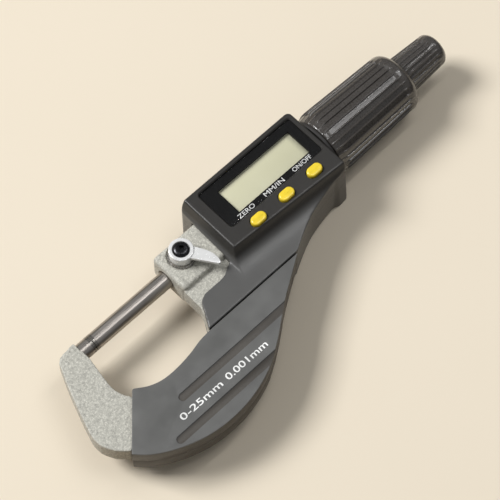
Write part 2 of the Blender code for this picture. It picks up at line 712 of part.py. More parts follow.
def make_pawl(axis, pawl_x, hub_r):
    """The pawl at the top of its click, and the spring under it."""
    spring_low = RATCHET_SCREW_D / 2 + 2 * GAP + 0.2 * MM
    foot = spring_low + 0.9 * MM
    turned("ratchet_pawl", [(hub_r + GAP, 0), (hub_r, PAWL_D / 2), (foot, PAWL_D / 2), (foot, 0)],
           "steel", at=(pawl_x, 0, 0), about_x=False, steps=16, parent=axis)
    ring("ratchet_spring", spring_low, foot - 0.1 * MM, PAWL_D / 2 - 0.1 * MM, 0.5 * MM, "steel",
         at=(pawl_x, 0, 0), about_x=False, steps=16, parent=axis)


def make_ratchet_screw(axis):
    head = KNOB_WEB_START + KNOB_WEB + GAP
    head_end = head + RATCHET_HEAD_T
    head_r = RATCHET_HEAD_D / 2
    shank_r = RATCHET_SCREW_D / 2
    point = THIMBLE_END - RATCHET_SCREW_IN
    screw = turned("ratchet_screw", [(head_end, 0), (head_end, head_r - 0.5 * MM),
                                     (head_end - 0.5 * MM, head_r), (head, head_r),
                                     (head, shank_r), (point, shank_r), (point, 0)],
                   "blackened", steps=24, parent=axis)
    cut(screw, block("ratchet_screw_slot", (head_end - 1.1 * MM, -5 * MM, -0.45 * MM),
                     (head_end + 1 * MM, 5 * MM, 0.45 * MM), parent=axis))


def make_encoder(axis):
    outer = ENCODER_D / 2
    start = BOSS_END + GAP
    ring("encoder_stator", start, start + ENCODER_T, outer, HUB_D / 2 - 0.4 * MM, "board", steps=20)
    start += ENCODER_T + 0.5 * MM
    ring("encoder_rotor", start, start + ENCODER_T, outer, HUB_D / 2 - 0.5 * MM, "board", steps=20,
         parent=axis)
    hub_start = start + ENCODER_T + SEAT
    hub_end = hub_start + HUB_L
    neck = HUB_D / 2 - 0.8 * MM
    hub = turned("rotor_hub", [(hub_end, HUB_D / 2), (hub_start, HUB_D / 2), (hub_start, neck),
                               (start, neck), (start, BORE_R), (hub_end, BORE_R)], "brass",
                 steps=24, parent=axis)
    key_x = (hub_start + hub_end) / 2
    cut(hub, rod("key_hole", -HUB_D, -1 * MM, KEY_D / 2 + GAP, at=(key_x, 0, 0), about_x=False,
                 steps=16, parent=axis))
    rod("rotor_key", -HUB_D / 2 + 0.2 * MM, -SPINDLE_R + KEYWAY_DEPTH - GAP, KEY_D / 2, "steel",
        at=(key_x, 0, 0), about_x=False, steps=16, parent=axis)
    keeper = block("rotor_keeper", (hub_end + GAP, BOSS_Y_LOW + GAP, -KEEPER_HALF),
                   (hub_end + GAP + KEEPER_T, KEEPER_TOP, KEEPER_HALF), "brass", edge=0.3 * MM,
                   segments=1)
    cut(keeper, rod("keeper_hole", hub_end - 1 * MM, hub_end + 4 * MM, BORE_R, steps=32))


def make_lock(axis):
    hub_r = LOCK_HUB_D / 2
    low = BOSS_TOP + GAP
    reach = Vector((math.cos(LEVER_ANGLE), math.sin(LEVER_ANGLE)))
    side = Vector((-reach.y, reach.x))
    centre = Vector((LOCK_X, LOCK_Y))
    ring("lock_washer", BOSS_TOP - LOCK_SEAT_SINK + SEAT, BOSS_TOP + 0.2 * MM, hub_r + 0.6 * MM,
         LOCK_SCREW_D / 2 + 2 * GAP, "steel", at=(LOCK_X, LOCK_Y, 0), about_x=False, steps=24)
    lever = turned("lock_lever", [(LOCK_TOP, hub_r - 0.4 * MM), (LOCK_TOP - 0.4 * MM, hub_r),
                                  (low + 0.9 * MM, hub_r), (low, hub_r - 0.7 * MM),
                                  (low, LOCK_SCREW_D / 2 + GAP),
                                  (LOCK_TOP - 1.1 * MM, LOCK_SCREW_D / 2 + GAP),
                                  (LOCK_TOP - 1.1 * MM, LOCK_HEAD_D / 2 + GAP / 2),
                                  (LOCK_TOP, LOCK_HEAD_D / 2 + GAP / 2)],
                   "chrome", at=(LOCK_X, LOCK_Y, 0), about_x=False, steps=24, parent=axis)
    root = hub_r - 0.9 * MM
    straight = [(root, -2.1 * MM), (LEVER_REACH - 0.5 * MM, -0.9 * MM), (LEVER_REACH, -0.3 * MM)]
    curved = smooth([(LEVER_REACH - 0.9 * MM, 0.5 * MM), (LEVER_REACH - 4.5 * MM, 1.9 * MM),
                     (root + 2.0 * MM, 2.2 * MM), (root, 1.9 * MM)], 3)
    outline = [tuple(centre + reach * u + side * v) for u, v in straight + curved]
    arm = prism("lever_arm", outline, LOCK_TOP - LEVER_T, LOCK_TOP - 0.25 * MM, parent=axis,
                origin=(LOCK_X, LOCK_Y))
    round_edges(arm, 0.3 * MM, 1, 50)
    join(lever, arm)
    head = LOCK_HEAD_D / 2
    seat = LOCK_TOP - 1.1 * MM + SEAT
    screw = turned("lock_screw", [(LOCK_TOP + 0.7 * MM, 0), (LOCK_TOP + 0.7 * MM, head - 1.1 * MM),
                                  (LOCK_TOP + 0.45 * MM, head - 0.45 * MM),
                                  (LOCK_TOP - 0.1 * MM, head), (seat, head),
                                  (seat, LOCK_SCREW_D / 2), (SPINDLE_R + 1.9 * MM, LOCK_SCREW_D / 2),
                                  (SPINDLE_R + 1.9 * MM, 0)],
                   "blackened", at=(LOCK_X, LOCK_Y, 0), about_x=False, steps=24, parent=axis)
    cut(screw, rod("lock_socket", LOCK_TOP - 0.7 * MM, LOCK_TOP + 2 * MM, 1.45 * MM,
                   at=(LOCK_X, LOCK_Y, 0), about_x=False, steps=6, parent=axis))
    rod("lock_pin", SPINDLE_R + 0.15 * MM, SPINDLE_R + 1.9 * MM - GAP, LOCK_SCREW_D / 2, "brass",
        at=(LOCK_X, LOCK_Y, 0), about_x=False, steps=24)


def make_bow_cover(name, side):
    """Half of the bow's plastic cover: side is 1 in front and -1 at the back."""
    low, high = sorted((side * SEAT, side * COVER_OUT))
    cover = prism(name, bow_outline(), low, high, "cover")
    round_rim(cover, side, 0.35 * MM, 1)
    inset = COVER_WALL
    pocket = offset(bow_outline(), -inset)
    deep = sorted((-side * 1 * MM, side * COVER_IN))
    cut(cover, prism(name + "_pocket", pocket, deep[0], deep[1]),
        prism(name + "_mouth", arm_joint(COVER_WALL, 3 * MM, 3 * MM), deep[0], deep[1]),
        block(name + "_neck", (*neck_opening(GAP)[0], deep[0]), (*neck_opening(GAP)[1], deep[1])))
    for i, line in enumerate(GROOVE_LINES):
        cut(cover, groove(f"{name}_groove_{i + 1}", line, side, i))
    cut(cover, seam_bevel(name + "_bevel", side))
    if side < 0:
        for i, (x, y) in enumerate(COVER_SCREWS):
            cut(cover, screw_hole(f"cover_screw_hole_{i + 1}", x, y, COVER_SCREW_SINK - COVER_OUT,
                                  -COVER_OUT - 1 * MM))


def groove(name, line, side, row):
    """A long shallow groove, deep along its upper edge and running out at its lower one."""
    start = (6.0 - 11.0 * row) * MM
    end = (64.0 - 8.0 * row) * MM
    lean = math.atan2(GROOVE_DEPTH, GROOVE_W)
    middle = line - GROOVE_W / 2
    plan = [(end, middle - GROOVE_W / 2), (end, middle + GROOVE_W / 2)]
    plan += arc((start + GROOVE_W / 2, middle), GROOVE_W / 2, 90, 270, 6)
    plate = prism(name, plan, -1 * MM, 1 * MM, origin=(0, middle))
    plate.location.z = side * (COVER_OUT - GROOVE_DEPTH / 2 + 1 * MM)
    plate.rotation_euler.x = -side * lean
    return plate


def seam_bevel(name, side):
    """The cover falls away a little towards the seam with the housing."""
    width, depth = 2.7 * MM, 0.45 * MM
    lean = math.atan2(depth, width)
    plate = block(name, (SEAM_LEFT[0] - 8 * MM, SEAM_Y - width, -1 * MM),
                  (SEAM_RIGHT[0] + 8 * MM, SEAM_Y + 2 * MM, 1 * MM))
    plate.location.z = side * (COVER_OUT + 1 * MM - depth / 2 + 0.1 * MM)
    plate.rotation_euler.x = -side * lean
    return plate


def slope_cut():
    """Clears the housing from the ridge beside the buttons down to the plateau."""
    above = HOUSING_TOP + 3 * MM
    drop = HOUSING_TOP - PLATEAU_Z
    slope = [(0.0, above), (0.0, HOUSING_TOP)]
    slope += smooth([(-0.2 * MM, HOUSING_TOP - 0.25 * MM), (-1.5 * MM, HOUSING_TOP - 0.40 * drop),
                     (-3.6 * MM, HOUSING_TOP - 0.76 * drop), (-7.4 * MM, PLATEAU_Z + 0.3 * MM),
                     (-13.0 * MM, PLATEAU_Z), (-20.0 * MM, PLATEAU_Z)], 3)
    slope += [(-20.0 * MM, above)]
    cutter = prism("ridge_slope", slope, BOSS_FACE - 12 * MM, HOUSING_END + 6 * MM, along_x=True)
    cutter.location.y = RIDGE_Y
    cutter.rotation_euler.z -= RIDGE_LEAN
    return cutter


def end_wall_cut(name, side, start, depth):
    """Clears the housing from the wall at its anvil end to the plateau, on one side."""
    wall = [(start + 0.3 * MM, depth + 3 * MM), (start + 0.3 * MM, depth),
            (start - 0.1 * MM, depth - 0.6 * MM), (start - 1.6 * MM, PLATEAU_Z + 1.6 * MM),
            (start - 2.9 * MM, PLATEAU_Z + 0.2 * MM), (start - 5.0 * MM, PLATEAU_Z),
            (BOSS_FACE - 9 * MM, PLATEAU_Z), (BOSS_FACE - 9 * MM, depth + 3 * MM)]
    cutter = prism(name, [(x, side * z) for x, z in wall], 0, 60 * MM)
    cutter.rotation_euler.x = math.pi / 2
    cutter.location = (0, HOUSING_SIDE - 25 * MM, 0)
    return cutter


def make_front_housing():
    housing = prism("front_housing", housing_outline(), SEAT, HOUSING_TOP, "housing")
    round_rim(housing, 1, EDGE_ROUND, 1)
    cut(housing, slope_cut(), end_wall_cut("front_end_wall", 1, HOUSING_START, HOUSING_TOP))
    cut_housing_common(housing, 1)
    window = rounded((WINDOW_X - WINDOW_L / 2 - GAP, WINDOW_Y - WINDOW_W / 2 - GAP),
                     (WINDOW_X + WINDOW_L / 2 + GAP, WINDOW_Y + WINDOW_W / 2 + GAP),
                     WINDOW_ROUND + GAP)
    cut(housing, prism("window_opening", window, LID_IN - 1 * MM, HOUSING_TOP + 1 * MM))
    for i in range(len(BUTTONS)):
        cut(housing, prism(f"button_hole_{i + 1}", button_outline(i, GAP), LID_IN - 2 * MM,
                           HOUSING_TOP + 1 * MM))


def cut_housing_common(housing, side):
    """Room for the works, the casting and its blocks."""
    name = "front" if side > 0 else "rear"
    far = LID_IN if side > 0 else -BACK_IN
    low, high = sorted((-side * 1 * MM, side * far))
    cut(housing,
        rod(name + "_sleeve_hole", CAVITY_END - 1 * MM, HOUSING_END + 1 * MM, SLEEVE_R + GAP),
        block(name + "_cavity", (CAVITY_START, RIDGE_Y + 0.8 * MM, low),
              (CAVITY_END, HOUSING_SIDE - HOUSING_WALL, high)),
        prism(name + "_casting_room", offset(core_outline(), GAP),
              *sorted((-side * 1 * MM, side * COVER_IN))),
        block(name + "_throat_side", (BOSS_FACE - 8 * MM, SEAM_Y - 2 * MM, -COVER_IN),
              (BOSS_FACE + 6 * MM, BOSS_Y_LOW, COVER_IN)),
        block(name + "_boss_room", (BOSS_FACE - 2 * MM, BOSS_Y_LOW - GAP, -BOSS_TOP - GAP),
              (BOSS_END + 1 * MM, BOSS_Y_HIGH + GAP, BOSS_TOP + GAP)))


def make_rear_housing():
    housing = prism("rear_housing", housing_outline(), -HOUSING_BACK, -SEAT, "housing")
    round_rim(housing, -1, EDGE_ROUND)
    cut(housing, end_wall_cut("rear_end_wall", -1, DEEP_BACK_X, HOUSING_BACK))
    cut_housing_common(housing, -1)
    below = -HOUSING_BACK - 1 * MM
    notch_x, notch_y = LUG_W / 2 + GAP, LUG_OUT + GAP
    cut(housing,
        rod("door_hole", below, BACK_IN + 1 * MM, DOOR_D / 2 + GAP, at=(CELL_X, 0, 0), about_x=False),
        block("door_notches", (CELL_X - notch_x, -notch_y, below),
              (CELL_X + notch_x, notch_y, BACK_IN + 1 * MM)))
    seat = -HOUSING_BACK + BACK_SCREW_SINK + SCREW_HEAD_T + GAP / 2
    for i, (x, y) in enumerate(BACK_SCREWS):
        cut(housing, screw_hole(f"back_screw_hole_{i + 1}", x, y, seat, below))


def screw_hole(name, x, y, seat, below):
    """A stepped hole for a screw driven from the back, its head resting at seat."""
    wide, narrow = SCREW_HEAD_R + GAP, SCREW_SHANK_R + GAP
    return turned(name, [(1 * MM, 0), (1 * MM, narrow), (seat, narrow), (seat, wide), (below, wide),
                         (below, 0)], at=(x, y, 0), about_x=False, steps=14)


def make_screw(name, x, y, head_z, depth):
    """A cross-head screw driven from the back."""
    head_r, shank_r = SCREW_HEAD_R, SCREW_SHANK_R
    seat = head_z + SCREW_HEAD_T
    screw = turned(name, [(seat + depth, 0), (seat + depth, shank_r), (seat, shank_r), (seat, head_r),
                          (head_z + 0.4 * MM, head_r), (head_z, head_r - 0.7 * MM), (head_z, 0)],
                   "blackened", at=(x, y, 0), about_x=False, steps=12)
    for turn in (0, math.pi / 2):
        cut(screw, block(f"{name}_slot_{int(turn) + 1}", (x - 1.4 * MM, y - 0.35 * MM, head_z - 1 * MM),
                         (x + 1.4 * MM, y + 0.35 * MM, head_z + 0.8 * MM), turn=(0, 0, turn)))


def make_screws():
    for i, (x, y) in enumerate(BACK_SCREWS):
        head = BACK_SCREW_SINK - HOUSING_BACK
        make_screw(f"back_screw_{i + 1}", x, y, head, HOUSING_BACK - SCREW_HEAD_T)
    for i, (x, y) in enumerate(COVER_SCREWS):
        head = COVER_SCREW_SINK - GAP - COVER_OUT - SCREW_HEAD_T
        make_screw(f"cover_screw_{i + 1}", x, y, head, 5.0 * MM)


def make_display():
    low = (WINDOW_X - WINDOW_L / 2, WINDOW_Y - WINDOW_W / 2)
    high = (WINDOW_X + WINDOW_L / 2, WINDOW_Y + WINDOW_W / 2)
    plan = rounded(low, high, WINDOW_ROUND)
    mask_high = MASK_LOW + MASK_T
    prism("display_window", plan, mask_high + SEAT, mask_high + SEAT + WINDOW_T, "window")
    mask = prism("display_mask", plan, MASK_LOW, mask_high, "mask")
    cut(mask, block("mask_opening", (LCD_X - LCD_L / 2, LCD_Y - LCD_W / 2, MASK_LOW - 1 * MM),
                    (LCD_X + LCD_L / 2, LCD_Y + LCD_W / 2, mask_high + 1 * MM)))
    block("lcd_panel", (LCD_X - LCD_L / 2 - LCD_EDGE, LCD_Y - LCD_W / 2 - LCD_EDGE, LCD_LOW),
          (LCD_X + LCD_L / 2 + LCD_EDGE, LCD_Y + LCD_W / 2 + LCD_EDGE, LCD_LOW + LCD_T), "lcd")


def make_board():
    block("circuit_board", (CAVITY_START + 1.5 * MM, RIDGE_Y + 1.2 * MM, BOARD_TOP - BOARD_T),
          (CAVITY_END - 1.0 * MM, HOUSING_SIDE - HOUSING_WALL - 0.4 * MM, BOARD_TOP), "board")
    pad_low = BOARD_TOP + SEAT
    block("button_pad", (button_x(0) - 5 * MM, RIDGE_Y + 1.3 * MM, pad_low),
          (button_x(len(BUTTONS) - 1) + 5 * MM, BUTTON_Y + BUTTON_W / 2 + 0.4 * MM, pad_low + PAD_T),
          "rubber", edge=0.3 * MM, segments=1)


def button_x(i):
    return LCD_X + (i - 1) * BUTTON_PITCH + BUTTON_SHIFT


def button_outline(i, grow=0.0):
    half_l, half_w = BUTTON_L / 2 + grow, BUTTON_W / 2 + grow
    return rounded((button_x(i) - half_l, BUTTON_Y - half_w), (button_x(i) + half_l, BUTTON_Y + half_w),
                   half_w - SEAT, 3)


def make_buttons():
    low = BOARD_TOP + SEAT + PAD_T + BUTTON_TRAVEL + 2 * SEAT
    for i, name in enumerate(BUTTONS):
        x = button_x(i)
        axis = make_empty(name + "_slide", (x, BUTTON_Y, HOUSING_TOP), DATUM)
        button = prism(name, button_outline(i), low, HOUSING_TOP + BUTTON_PROUD, "button",
                       parent=axis, origin=(x, BUTTON_Y))
        round_edges(button, 0.5 * MM, 2, 50)


def make_battery():
    low = BACK_IN + CELL_SEAT
    high = low + CELL_T
    edge = CELL_D / 2
    turned("battery", [(high, 0), (high, edge - 1.2 * MM), (high - 0.5 * MM, edge), (low, edge),
                       (low, 0)], "steel", at=(CELL_X, 0, 0), about_x=False, steps=24)


def make_battery_cover(axis):
    """A disc with a coin slot, held by two lugs that reach in over the edge of its hole."""
    low = DOOR_SINK - HOUSING_BACK
    door = rod("battery_cover", low, BACK_IN, DOOR_D / 2, "housing", at=(CELL_X, 0, 0),
               about_x=False, parent=axis)
    for i, side in enumerate((-1, 1)):
        for part, near, far, bottom in (("riser", LUG_IN, DOOR_D / 2, BACK_IN - 0.4 * MM),
                                        ("lug", LUG_IN + 1 * MM, LUG_OUT, BACK_IN + GAP)):
            start, end = sorted((CELL_X + side * near, CELL_X + side * far))
            join(door, block(f"door_{part}_{i + 1}", (start, -LUG_W / 2, bottom),
                             (end, LUG_W / 2, BACK_IN + GAP + LUG_T), parent=axis))
    cut(door, block("coin_slot", (CELL_X - 4.5 * MM, -0.7 * MM, low - 1 * MM),
                    (CELL_X + 4.5 * MM, 0.7 * MM, low + 0.5 * MM), parent=axis))


def make_contacts():
    """Bent strips from the cell up to the board."""
    top = BOARD_TOP - BOARD_T - GAP
    over = BACK_IN + CELL_SEAT + CELL_T + GAP
    leg = CELL_D / 2 + STRIP_REACH
    bent = [(-STRIP_REACH, over), (leg + STRIP_T, over), (leg + STRIP_T, top), (leg, top),
            (leg, over + STRIP_T), (-STRIP_REACH, over + STRIP_T)]
    start = CELL_X - STRIP_SHIFT
    prism("contact_minus", bent, start, start + STRIP_W, "brass", along_x=True)
    side = CELL_D / 2 + GAP
    block("contact_plus", (CELL_X, side, BACK_IN + LUG_T + 3 * GAP),
          (CELL_X + STRIP_W, side + STRIP_T, top), "brass")


def main():
    make_frame()
    make_anvil()
    make_bow_cover("front_bow_cover", 1)
    make_bow_cover("rear_bow_cover", -1)
    make_front_housing()
    make_rear_housing()
    make_display()
    make_board()
    make_buttons()
    make_sleeve()
    make_encoder(make_empty("rotor_axis", (BOSS_END, 0, 0), DATUM))
    spindle_axis = make_empty("spindle_axis", (0, 0, 0), DATUM)
    make_spindle(spindle_axis)
    make_thimble(spindle_axis)
    pawl_x, hub_r = make_ratchet(spindle_axis)
    make_pawl(spindle_axis, pawl_x, hub_r)
    make_ratchet_screw(spindle_axis)
    make_lock(make_empty("lock_axis", (LOCK_X, LOCK_Y, 0), DATUM))
    make_battery()
    make_battery_cover(make_empty("battery_cover_axis", (CELL_X, 0, -HOUSING_BACK), DATUM))
    make_contacts()
    make_screws()
    bpy.context.view_layer.update()


main()
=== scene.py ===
"""Looks of the digital outside micrometer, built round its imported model.

Pieces are drawn in millimetres from the datum of the tool: x along the spindle from
the measuring plane, y and z from the spindle axis, the bow at -y and the display at
+z. place() then sets them in the frame, in metres.
"""
import math

import bmesh
import bpy
from mathutils import Matrix, Vector


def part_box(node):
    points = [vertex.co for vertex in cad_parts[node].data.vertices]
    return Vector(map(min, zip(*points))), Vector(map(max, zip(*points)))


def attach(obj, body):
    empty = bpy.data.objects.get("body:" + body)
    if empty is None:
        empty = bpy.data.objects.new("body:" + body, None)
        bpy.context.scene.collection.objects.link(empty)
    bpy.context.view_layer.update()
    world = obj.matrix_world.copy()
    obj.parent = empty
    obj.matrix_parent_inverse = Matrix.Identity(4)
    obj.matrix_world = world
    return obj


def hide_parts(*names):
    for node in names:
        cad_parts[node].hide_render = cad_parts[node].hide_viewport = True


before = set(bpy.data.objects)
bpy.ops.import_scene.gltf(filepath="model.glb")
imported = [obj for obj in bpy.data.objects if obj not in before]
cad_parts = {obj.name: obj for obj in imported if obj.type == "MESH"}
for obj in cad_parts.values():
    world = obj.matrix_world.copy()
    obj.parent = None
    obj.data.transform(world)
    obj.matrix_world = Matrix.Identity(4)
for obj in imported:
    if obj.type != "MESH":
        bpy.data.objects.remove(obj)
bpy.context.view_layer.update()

# The datum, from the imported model, and the step from millimetres to metres.
SPINDLE_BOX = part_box("spindle")
DATUM = Vector((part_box("anvil_tip")[1].x, 0, (SPINDLE_BOX[0].z + SPINDLE_BOX[1].z) / 2))
PLACE = Matrix.Translation(DATUM) @ Matrix.Scale(0.001, 4)


def span(node):
    """Lowest and highest corner of a node, in millimetres from the datum."""
    low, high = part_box(node)
    return PLACE.inverted() @ low, PLACE.inverted() @ high


# Clearances.
GAP = 0.3
SEAT = 0.05

# Measuring train.
TIP_T = 1.1
SPINDLE_R = (span("spindle")[1].y - span("spindle")[0].y) / 2
BORE_R = SPINDLE_R + GAP
ANVIL_OUT = 5.5
ANVIL_SHANK = 6.6
ANVIL_SHANK_R = 2.1
SPINDLE_START = span("spindle_tip")[0].x

# Frame casting and the covers of its bow.
FRAME_Z = 3.9
ARM_Z = 4.2
THROAT_DEPTH = 29.0
COVER_IN = FRAME_Z + GAP
COVER_PROUD = 0.7
COVER_OUT = span("front_bow_cover")[1].z + COVER_PROUD
COVER_WALL = 1.5
INSET_STEPS = 2
SEAM_Y = -26.65
SEAM_GAP = 0.5
GROOVE_W = 3.0
GROOVE_DEPTH = 0.6
GROOVE_TILT = 0.5
GROOVE_LINES = (-36.75, -47.45)
NECK_IN = 6.5

# Block that guides the spindle.
BOSS_FACE = 35.3
BOSS_TOP = 5.9
BOSS_Y_LOW = -9.6
BOSS_Y_HIGH = 7.2
BOSS_END = BOSS_FACE + 24.7
REAR_BOSS_Z = 6.5

# Electronics housing.
HOUSING_START = BOSS_FACE + 21.6
HOUSING_END = span("front_housing")[1].x
HOUSING_TOP = span("front_housing")[1].z
HOUSING_BACK = -span("rear_housing")[0].z
HOUSING_SIDE = span("front_housing")[1].y
HOUSING_WALL = 1.7
HOUSING_LID = 1.4
PLATEAU_Z = 5.6 + COVER_PROUD
END_LEAN = 0.045
RIDGE_Y = -12.4
RIDGE_LEAN = math.atan2(2.7, 48.0)
DEEP_BACK_X = BOSS_FACE + 14.0
REAR_BOSS_START = HOUSING_END - 12.0
REAR_BOSS_END = HOUSING_END - 2.5
CAVITY_START = HOUSING_START + HOUSING_WALL
CAVITY_END = HOUSING_END - HOUSING_WALL
DOOR_ROOM_R = 7.75

# Display and buttons.
WINDOW_LOW, WINDOW_HIGH = span("display_window")
WINDOW_ROUND = 1.1
LCD_LOW, LCD_HIGH = span("lcd_panel")
LCD_EDGE = 0.8
MASK_LOW, MASK_HIGH = span("display_mask")
BUTTONS = ("button_zero", "button_units", "button_power")
BUTTON_ROOM = 0.12
PRINT_LIFT = 0.012
CAPITAL_SHARE = 0.7

# Sleeve, thimble and ratchet.
SLEEVE_R = 6.0
COLLAR_LOW, COLLAR_HIGH = span("sleeve_collar")
GRIP_LOW, GRIP_HIGH = span("thimble_grip")
GRIP_FORWARD = 1.2
GRIP_R = GRIP_HIGH.y
GRIP_END_R = 12.0
TUBE_R = 9.2
FLUTES = 30
FLUTE_DEPTH = 0.5
FLOOR_FLAT = 0.2
KNOB_LOW, KNOB_HIGH = span("ratchet_knob")
KNOB_R = 7.6
KNOB_END_R = 6.8
KNOB_FLUTES = 24
KNOB_FLUTE_DEPTH = 0.4
TEETH = 12
TOOTH_ROOT_R = 5.7
TOOTH_TIP_R = 5.0

# Spindle lock.
LOCK = Vector((43.6, 0.8))
LOCK_TOP = 11.0
LOCK_HUB_R = 4.5
LEVER_REACH = 14.7
LEVER_T = 1.7
LEVER_ANGLE = math.radians(-60.5)
LOCK_HEAD_R = 3.0
LOCK_SHANK_R = 1.6
LOCK_SEAT_SINK = 0.6

# Camera and light.
LENS = 151.2
CAMERA_AT = Vector((-0.23416, -0.24388, 0.68065))
VIEW_AZIMUTH = math.radians(-44.1)
VIEW_ELEVATION = math.radians(64.2)
SKY_LEVELS = ((0.05, 0.02), (0.55, 0.30), (0.72, 0.28), (0.90, 0.13))
# Place, aim, level side, side that leans towards the aim, and watts.
LAMPS = {
    "key": ((-1.1, 1.5, 2.0), (0, 0, 0), 1.0, 1.0, 72),
    "overhead": ((0.38, -0.22, 1.2), (0, 0, 0), 0.40, 0.5, 1.8),
    "strip": ((0.28, -0.012, 0.9), (0.05, 0, 0.02), 0.010, 0.8, 1.0),
}


# Modelling helpers.

def new_piece(name, mesh):
    piece = bpy.data.objects.new(name, mesh)
    bpy.context.scene.collection.objects.link(piece)
    return piece


def settle(piece):
    """Apply the modifiers of a piece."""
    bpy.context.view_layer.update()
    graph = bpy.context.evaluated_depsgraph_get()
    mesh = bpy.data.meshes.new_from_object(piece.evaluated_get(graph))
    piece.modifiers.clear()
    piece.data = mesh
    return piece


def prism(name, outline, low, high, along_x=False):
    """A flat outline with thickness: in plan from low to high, or a y-z outline along x."""
    mesh = bpy.data.meshes.new(name)
    form = bmesh.new()
    base = [form.verts.new((u, v, low)) for u, v in outline]
    face = form.faces.new(base)
    lifted = bmesh.ops.extrude_face_region(form, geom=[face])["geom"]
    bmesh.ops.translate(form, vec=(0, 0, high - low),
                        verts=[part for part in lifted if isinstance(part, bmesh.types.BMVert)])
    bmesh.ops.recalc_face_normals(form, faces=form.faces)
    if along_x:
        bmesh.ops.transform(form, verts=form.verts,
                            matrix=Matrix(((0, 0, 1, 0), (1, 0, 0, 0), (0, 1, 0, 0), (0, 0, 0, 1))))
    form.to_mesh(mesh)
    form.free()
    return new_piece(name, mesh)


def block(name, low, high):
    return prism(name, [(low[0], low[1]), (high[0], low[1]), (high[0], high[1]), (low[0], high[1])],
                 low[2], high[2])


def loft(name, rings, closed=True, caps=False):
    """A surface bridged through rings of points: closed back to the first, or capped."""
    mesh = bpy.data.meshes.new(name)
    form = bmesh.new()
    loops = [[form.verts.new(point) for point in points] for points in rings]
    count = len(loops[0])
    pairs = list(zip(loops, loops[1:] + loops[:1])) if closed else list(zip(loops, loops[1:]))
    for here, there in pairs:
        for i in range(count):
            j = (i + 1) % count
            form.faces.new((here[i], here[j], there[j], there[i]))
    if caps:
        form.faces.new(loops[0])
        form.faces.new(loops[-1])
    bmesh.ops.recalc_face_normals(form, faces=form.faces)
    form.to_mesh(mesh)
    form.free()
    return new_piece(name, mesh)


def turned(name, profile, at=(0, 0), about_x=True, steps=96):
    """A turned piece from (along, radius) points, closed at the axis or at a bore."""
    mesh = bpy.data.meshes.new(name)
    form = bmesh.new()
    loops = []
    for along, radius in profile:
        if radius == 0:
            loops.append([form.verts.new((along, 0, 0))])
            continue
        angles = [2 * math.pi * i / steps for i in range(steps)]
        loops.append([form.verts.new((along, radius * math.cos(a), radius * math.sin(a)))
                      for a in angles])
    pairs = list(zip(loops, loops[1:]))
    if profile[0][1] > 0:
        pairs.append((loops[-1], loops[0]))
    for here, there in pairs:
        for i in range(steps):
            j = (i + 1) % steps
            if len(here) == 1:
                form.faces.new((here[0], there[j], there[i]))
            elif len(there) == 1:
                form.faces.new((here[i], here[j], there[0]))
            else:
                form.faces.new((here[i], here[j], there[j], there[i]))
    bmesh.ops.recalc_face_normals(form, faces=form.faces)
    if not about_x:
        bmesh.ops.transform(form, verts=form.verts, matrix=Matrix.Translation((at[0], at[1], 0))
                            @ Matrix(((0, 1, 0, 0), (0, 0, 1, 0), (1, 0, 0, 0), (0, 0, 0, 1))))
    form.to_mesh(mesh)
    form.free()
    return new_piece(name, mesh)


def plug(name, low, high, radius, **placing):
    """A plain round bar, to clear a bore with."""
    return turned(name, [(low, 0), (low, radius), (high, radius), (high, 0)], **placing)


def bead(along, radius, size, turn_from, turn_to, steps=5):
    """(along, radius) points of a rounded edge round a turned piece, angles in degrees."""
    points = []
    for i in range(steps + 1):
        a = math.radians(turn_from + (turn_to - turn_from) * i / steps)
        points.append((along + size * math.cos(a), radius + size * math.sin(a)))
    return points


def combine(piece, tools, operation):
    """A Boolean of the piece with each tool in turn, applied; the tools are used up."""
    for tool in tools:
        step = piece.modifiers.new("boolean", "BOOLEAN")
        step.operation = operation
        step.solver = "EXACT"
        step.object = tool
        settle(piece)
        bpy.data.objects.remove(tool, do_unlink=True)
    return piece


def cut(piece, *tools):
    return combine(piece, tools, "DIFFERENCE")


def join(piece, *tools):
    return combine(piece, tools, "UNION")


def round_edges(piece, width, segments=3, angle=30.0):
    bevel = piece.modifiers.new("round", "BEVEL")
    bevel.width = width
    bevel.segments = segments
    bevel.limit_method = "ANGLE"
    bevel.angle_limit = math.radians(angle)
    bevel.harden_normals = False
    return settle(piece)


def soften(piece, voxel, passes, keep=0.5):
    """Moulded edges: remesh finely, smooth, then drop the points that flat places don't need."""
    remesh = piece.modifiers.new("remesh", "REMESH")
    remesh.mode = "VOXEL"
    remesh.voxel_size = voxel
    relax = piece.modifiers.new("relax", "SMOOTH")
    relax.factor = 0.5
    relax.iterations = passes
    thin = piece.modifiers.new("thin", "DECIMATE")
    thin.ratio = keep
    return settle(piece)


def half_room(side):
    """Clears what lies beyond the parting plane of a front (1) or rear (-1) half."""
    low, high = sorted((side * SEAT, -side * 6.0))
    return block("half_room", (-60, -90, low), (200, 60, high))


def smooth(points, steps=8):
    """A Catmull-Rom curve through the points of an open stretch."""
    ends = [points[0]] + list(points) + [points[-1]]
    path = []
    for a, b, c, d in zip(ends, ends[1:], ends[2:], ends[3:]):
        for i in range(steps):
            t = i / steps
            path.append(tuple(
                0.5 * (2 * q + (r - p) * t + (2 * p - 5 * q + 4 * r - s) * t * t
                       + (3 * q - p - 3 * r + s) * t ** 3)
                for p, q, r, s in zip(a, b, c, d)))
    return path + [points[-1]]


def arc(centre, radius, start, end, steps=10):
    """Points of an arc in degrees, either way round."""
    angles = [math.radians(start + (end - start) * i / steps) for i in range(steps + 1)]
    return [(centre[0] + radius * math.cos(a), centre[1] + radius * math.sin(a)) for a in angles]


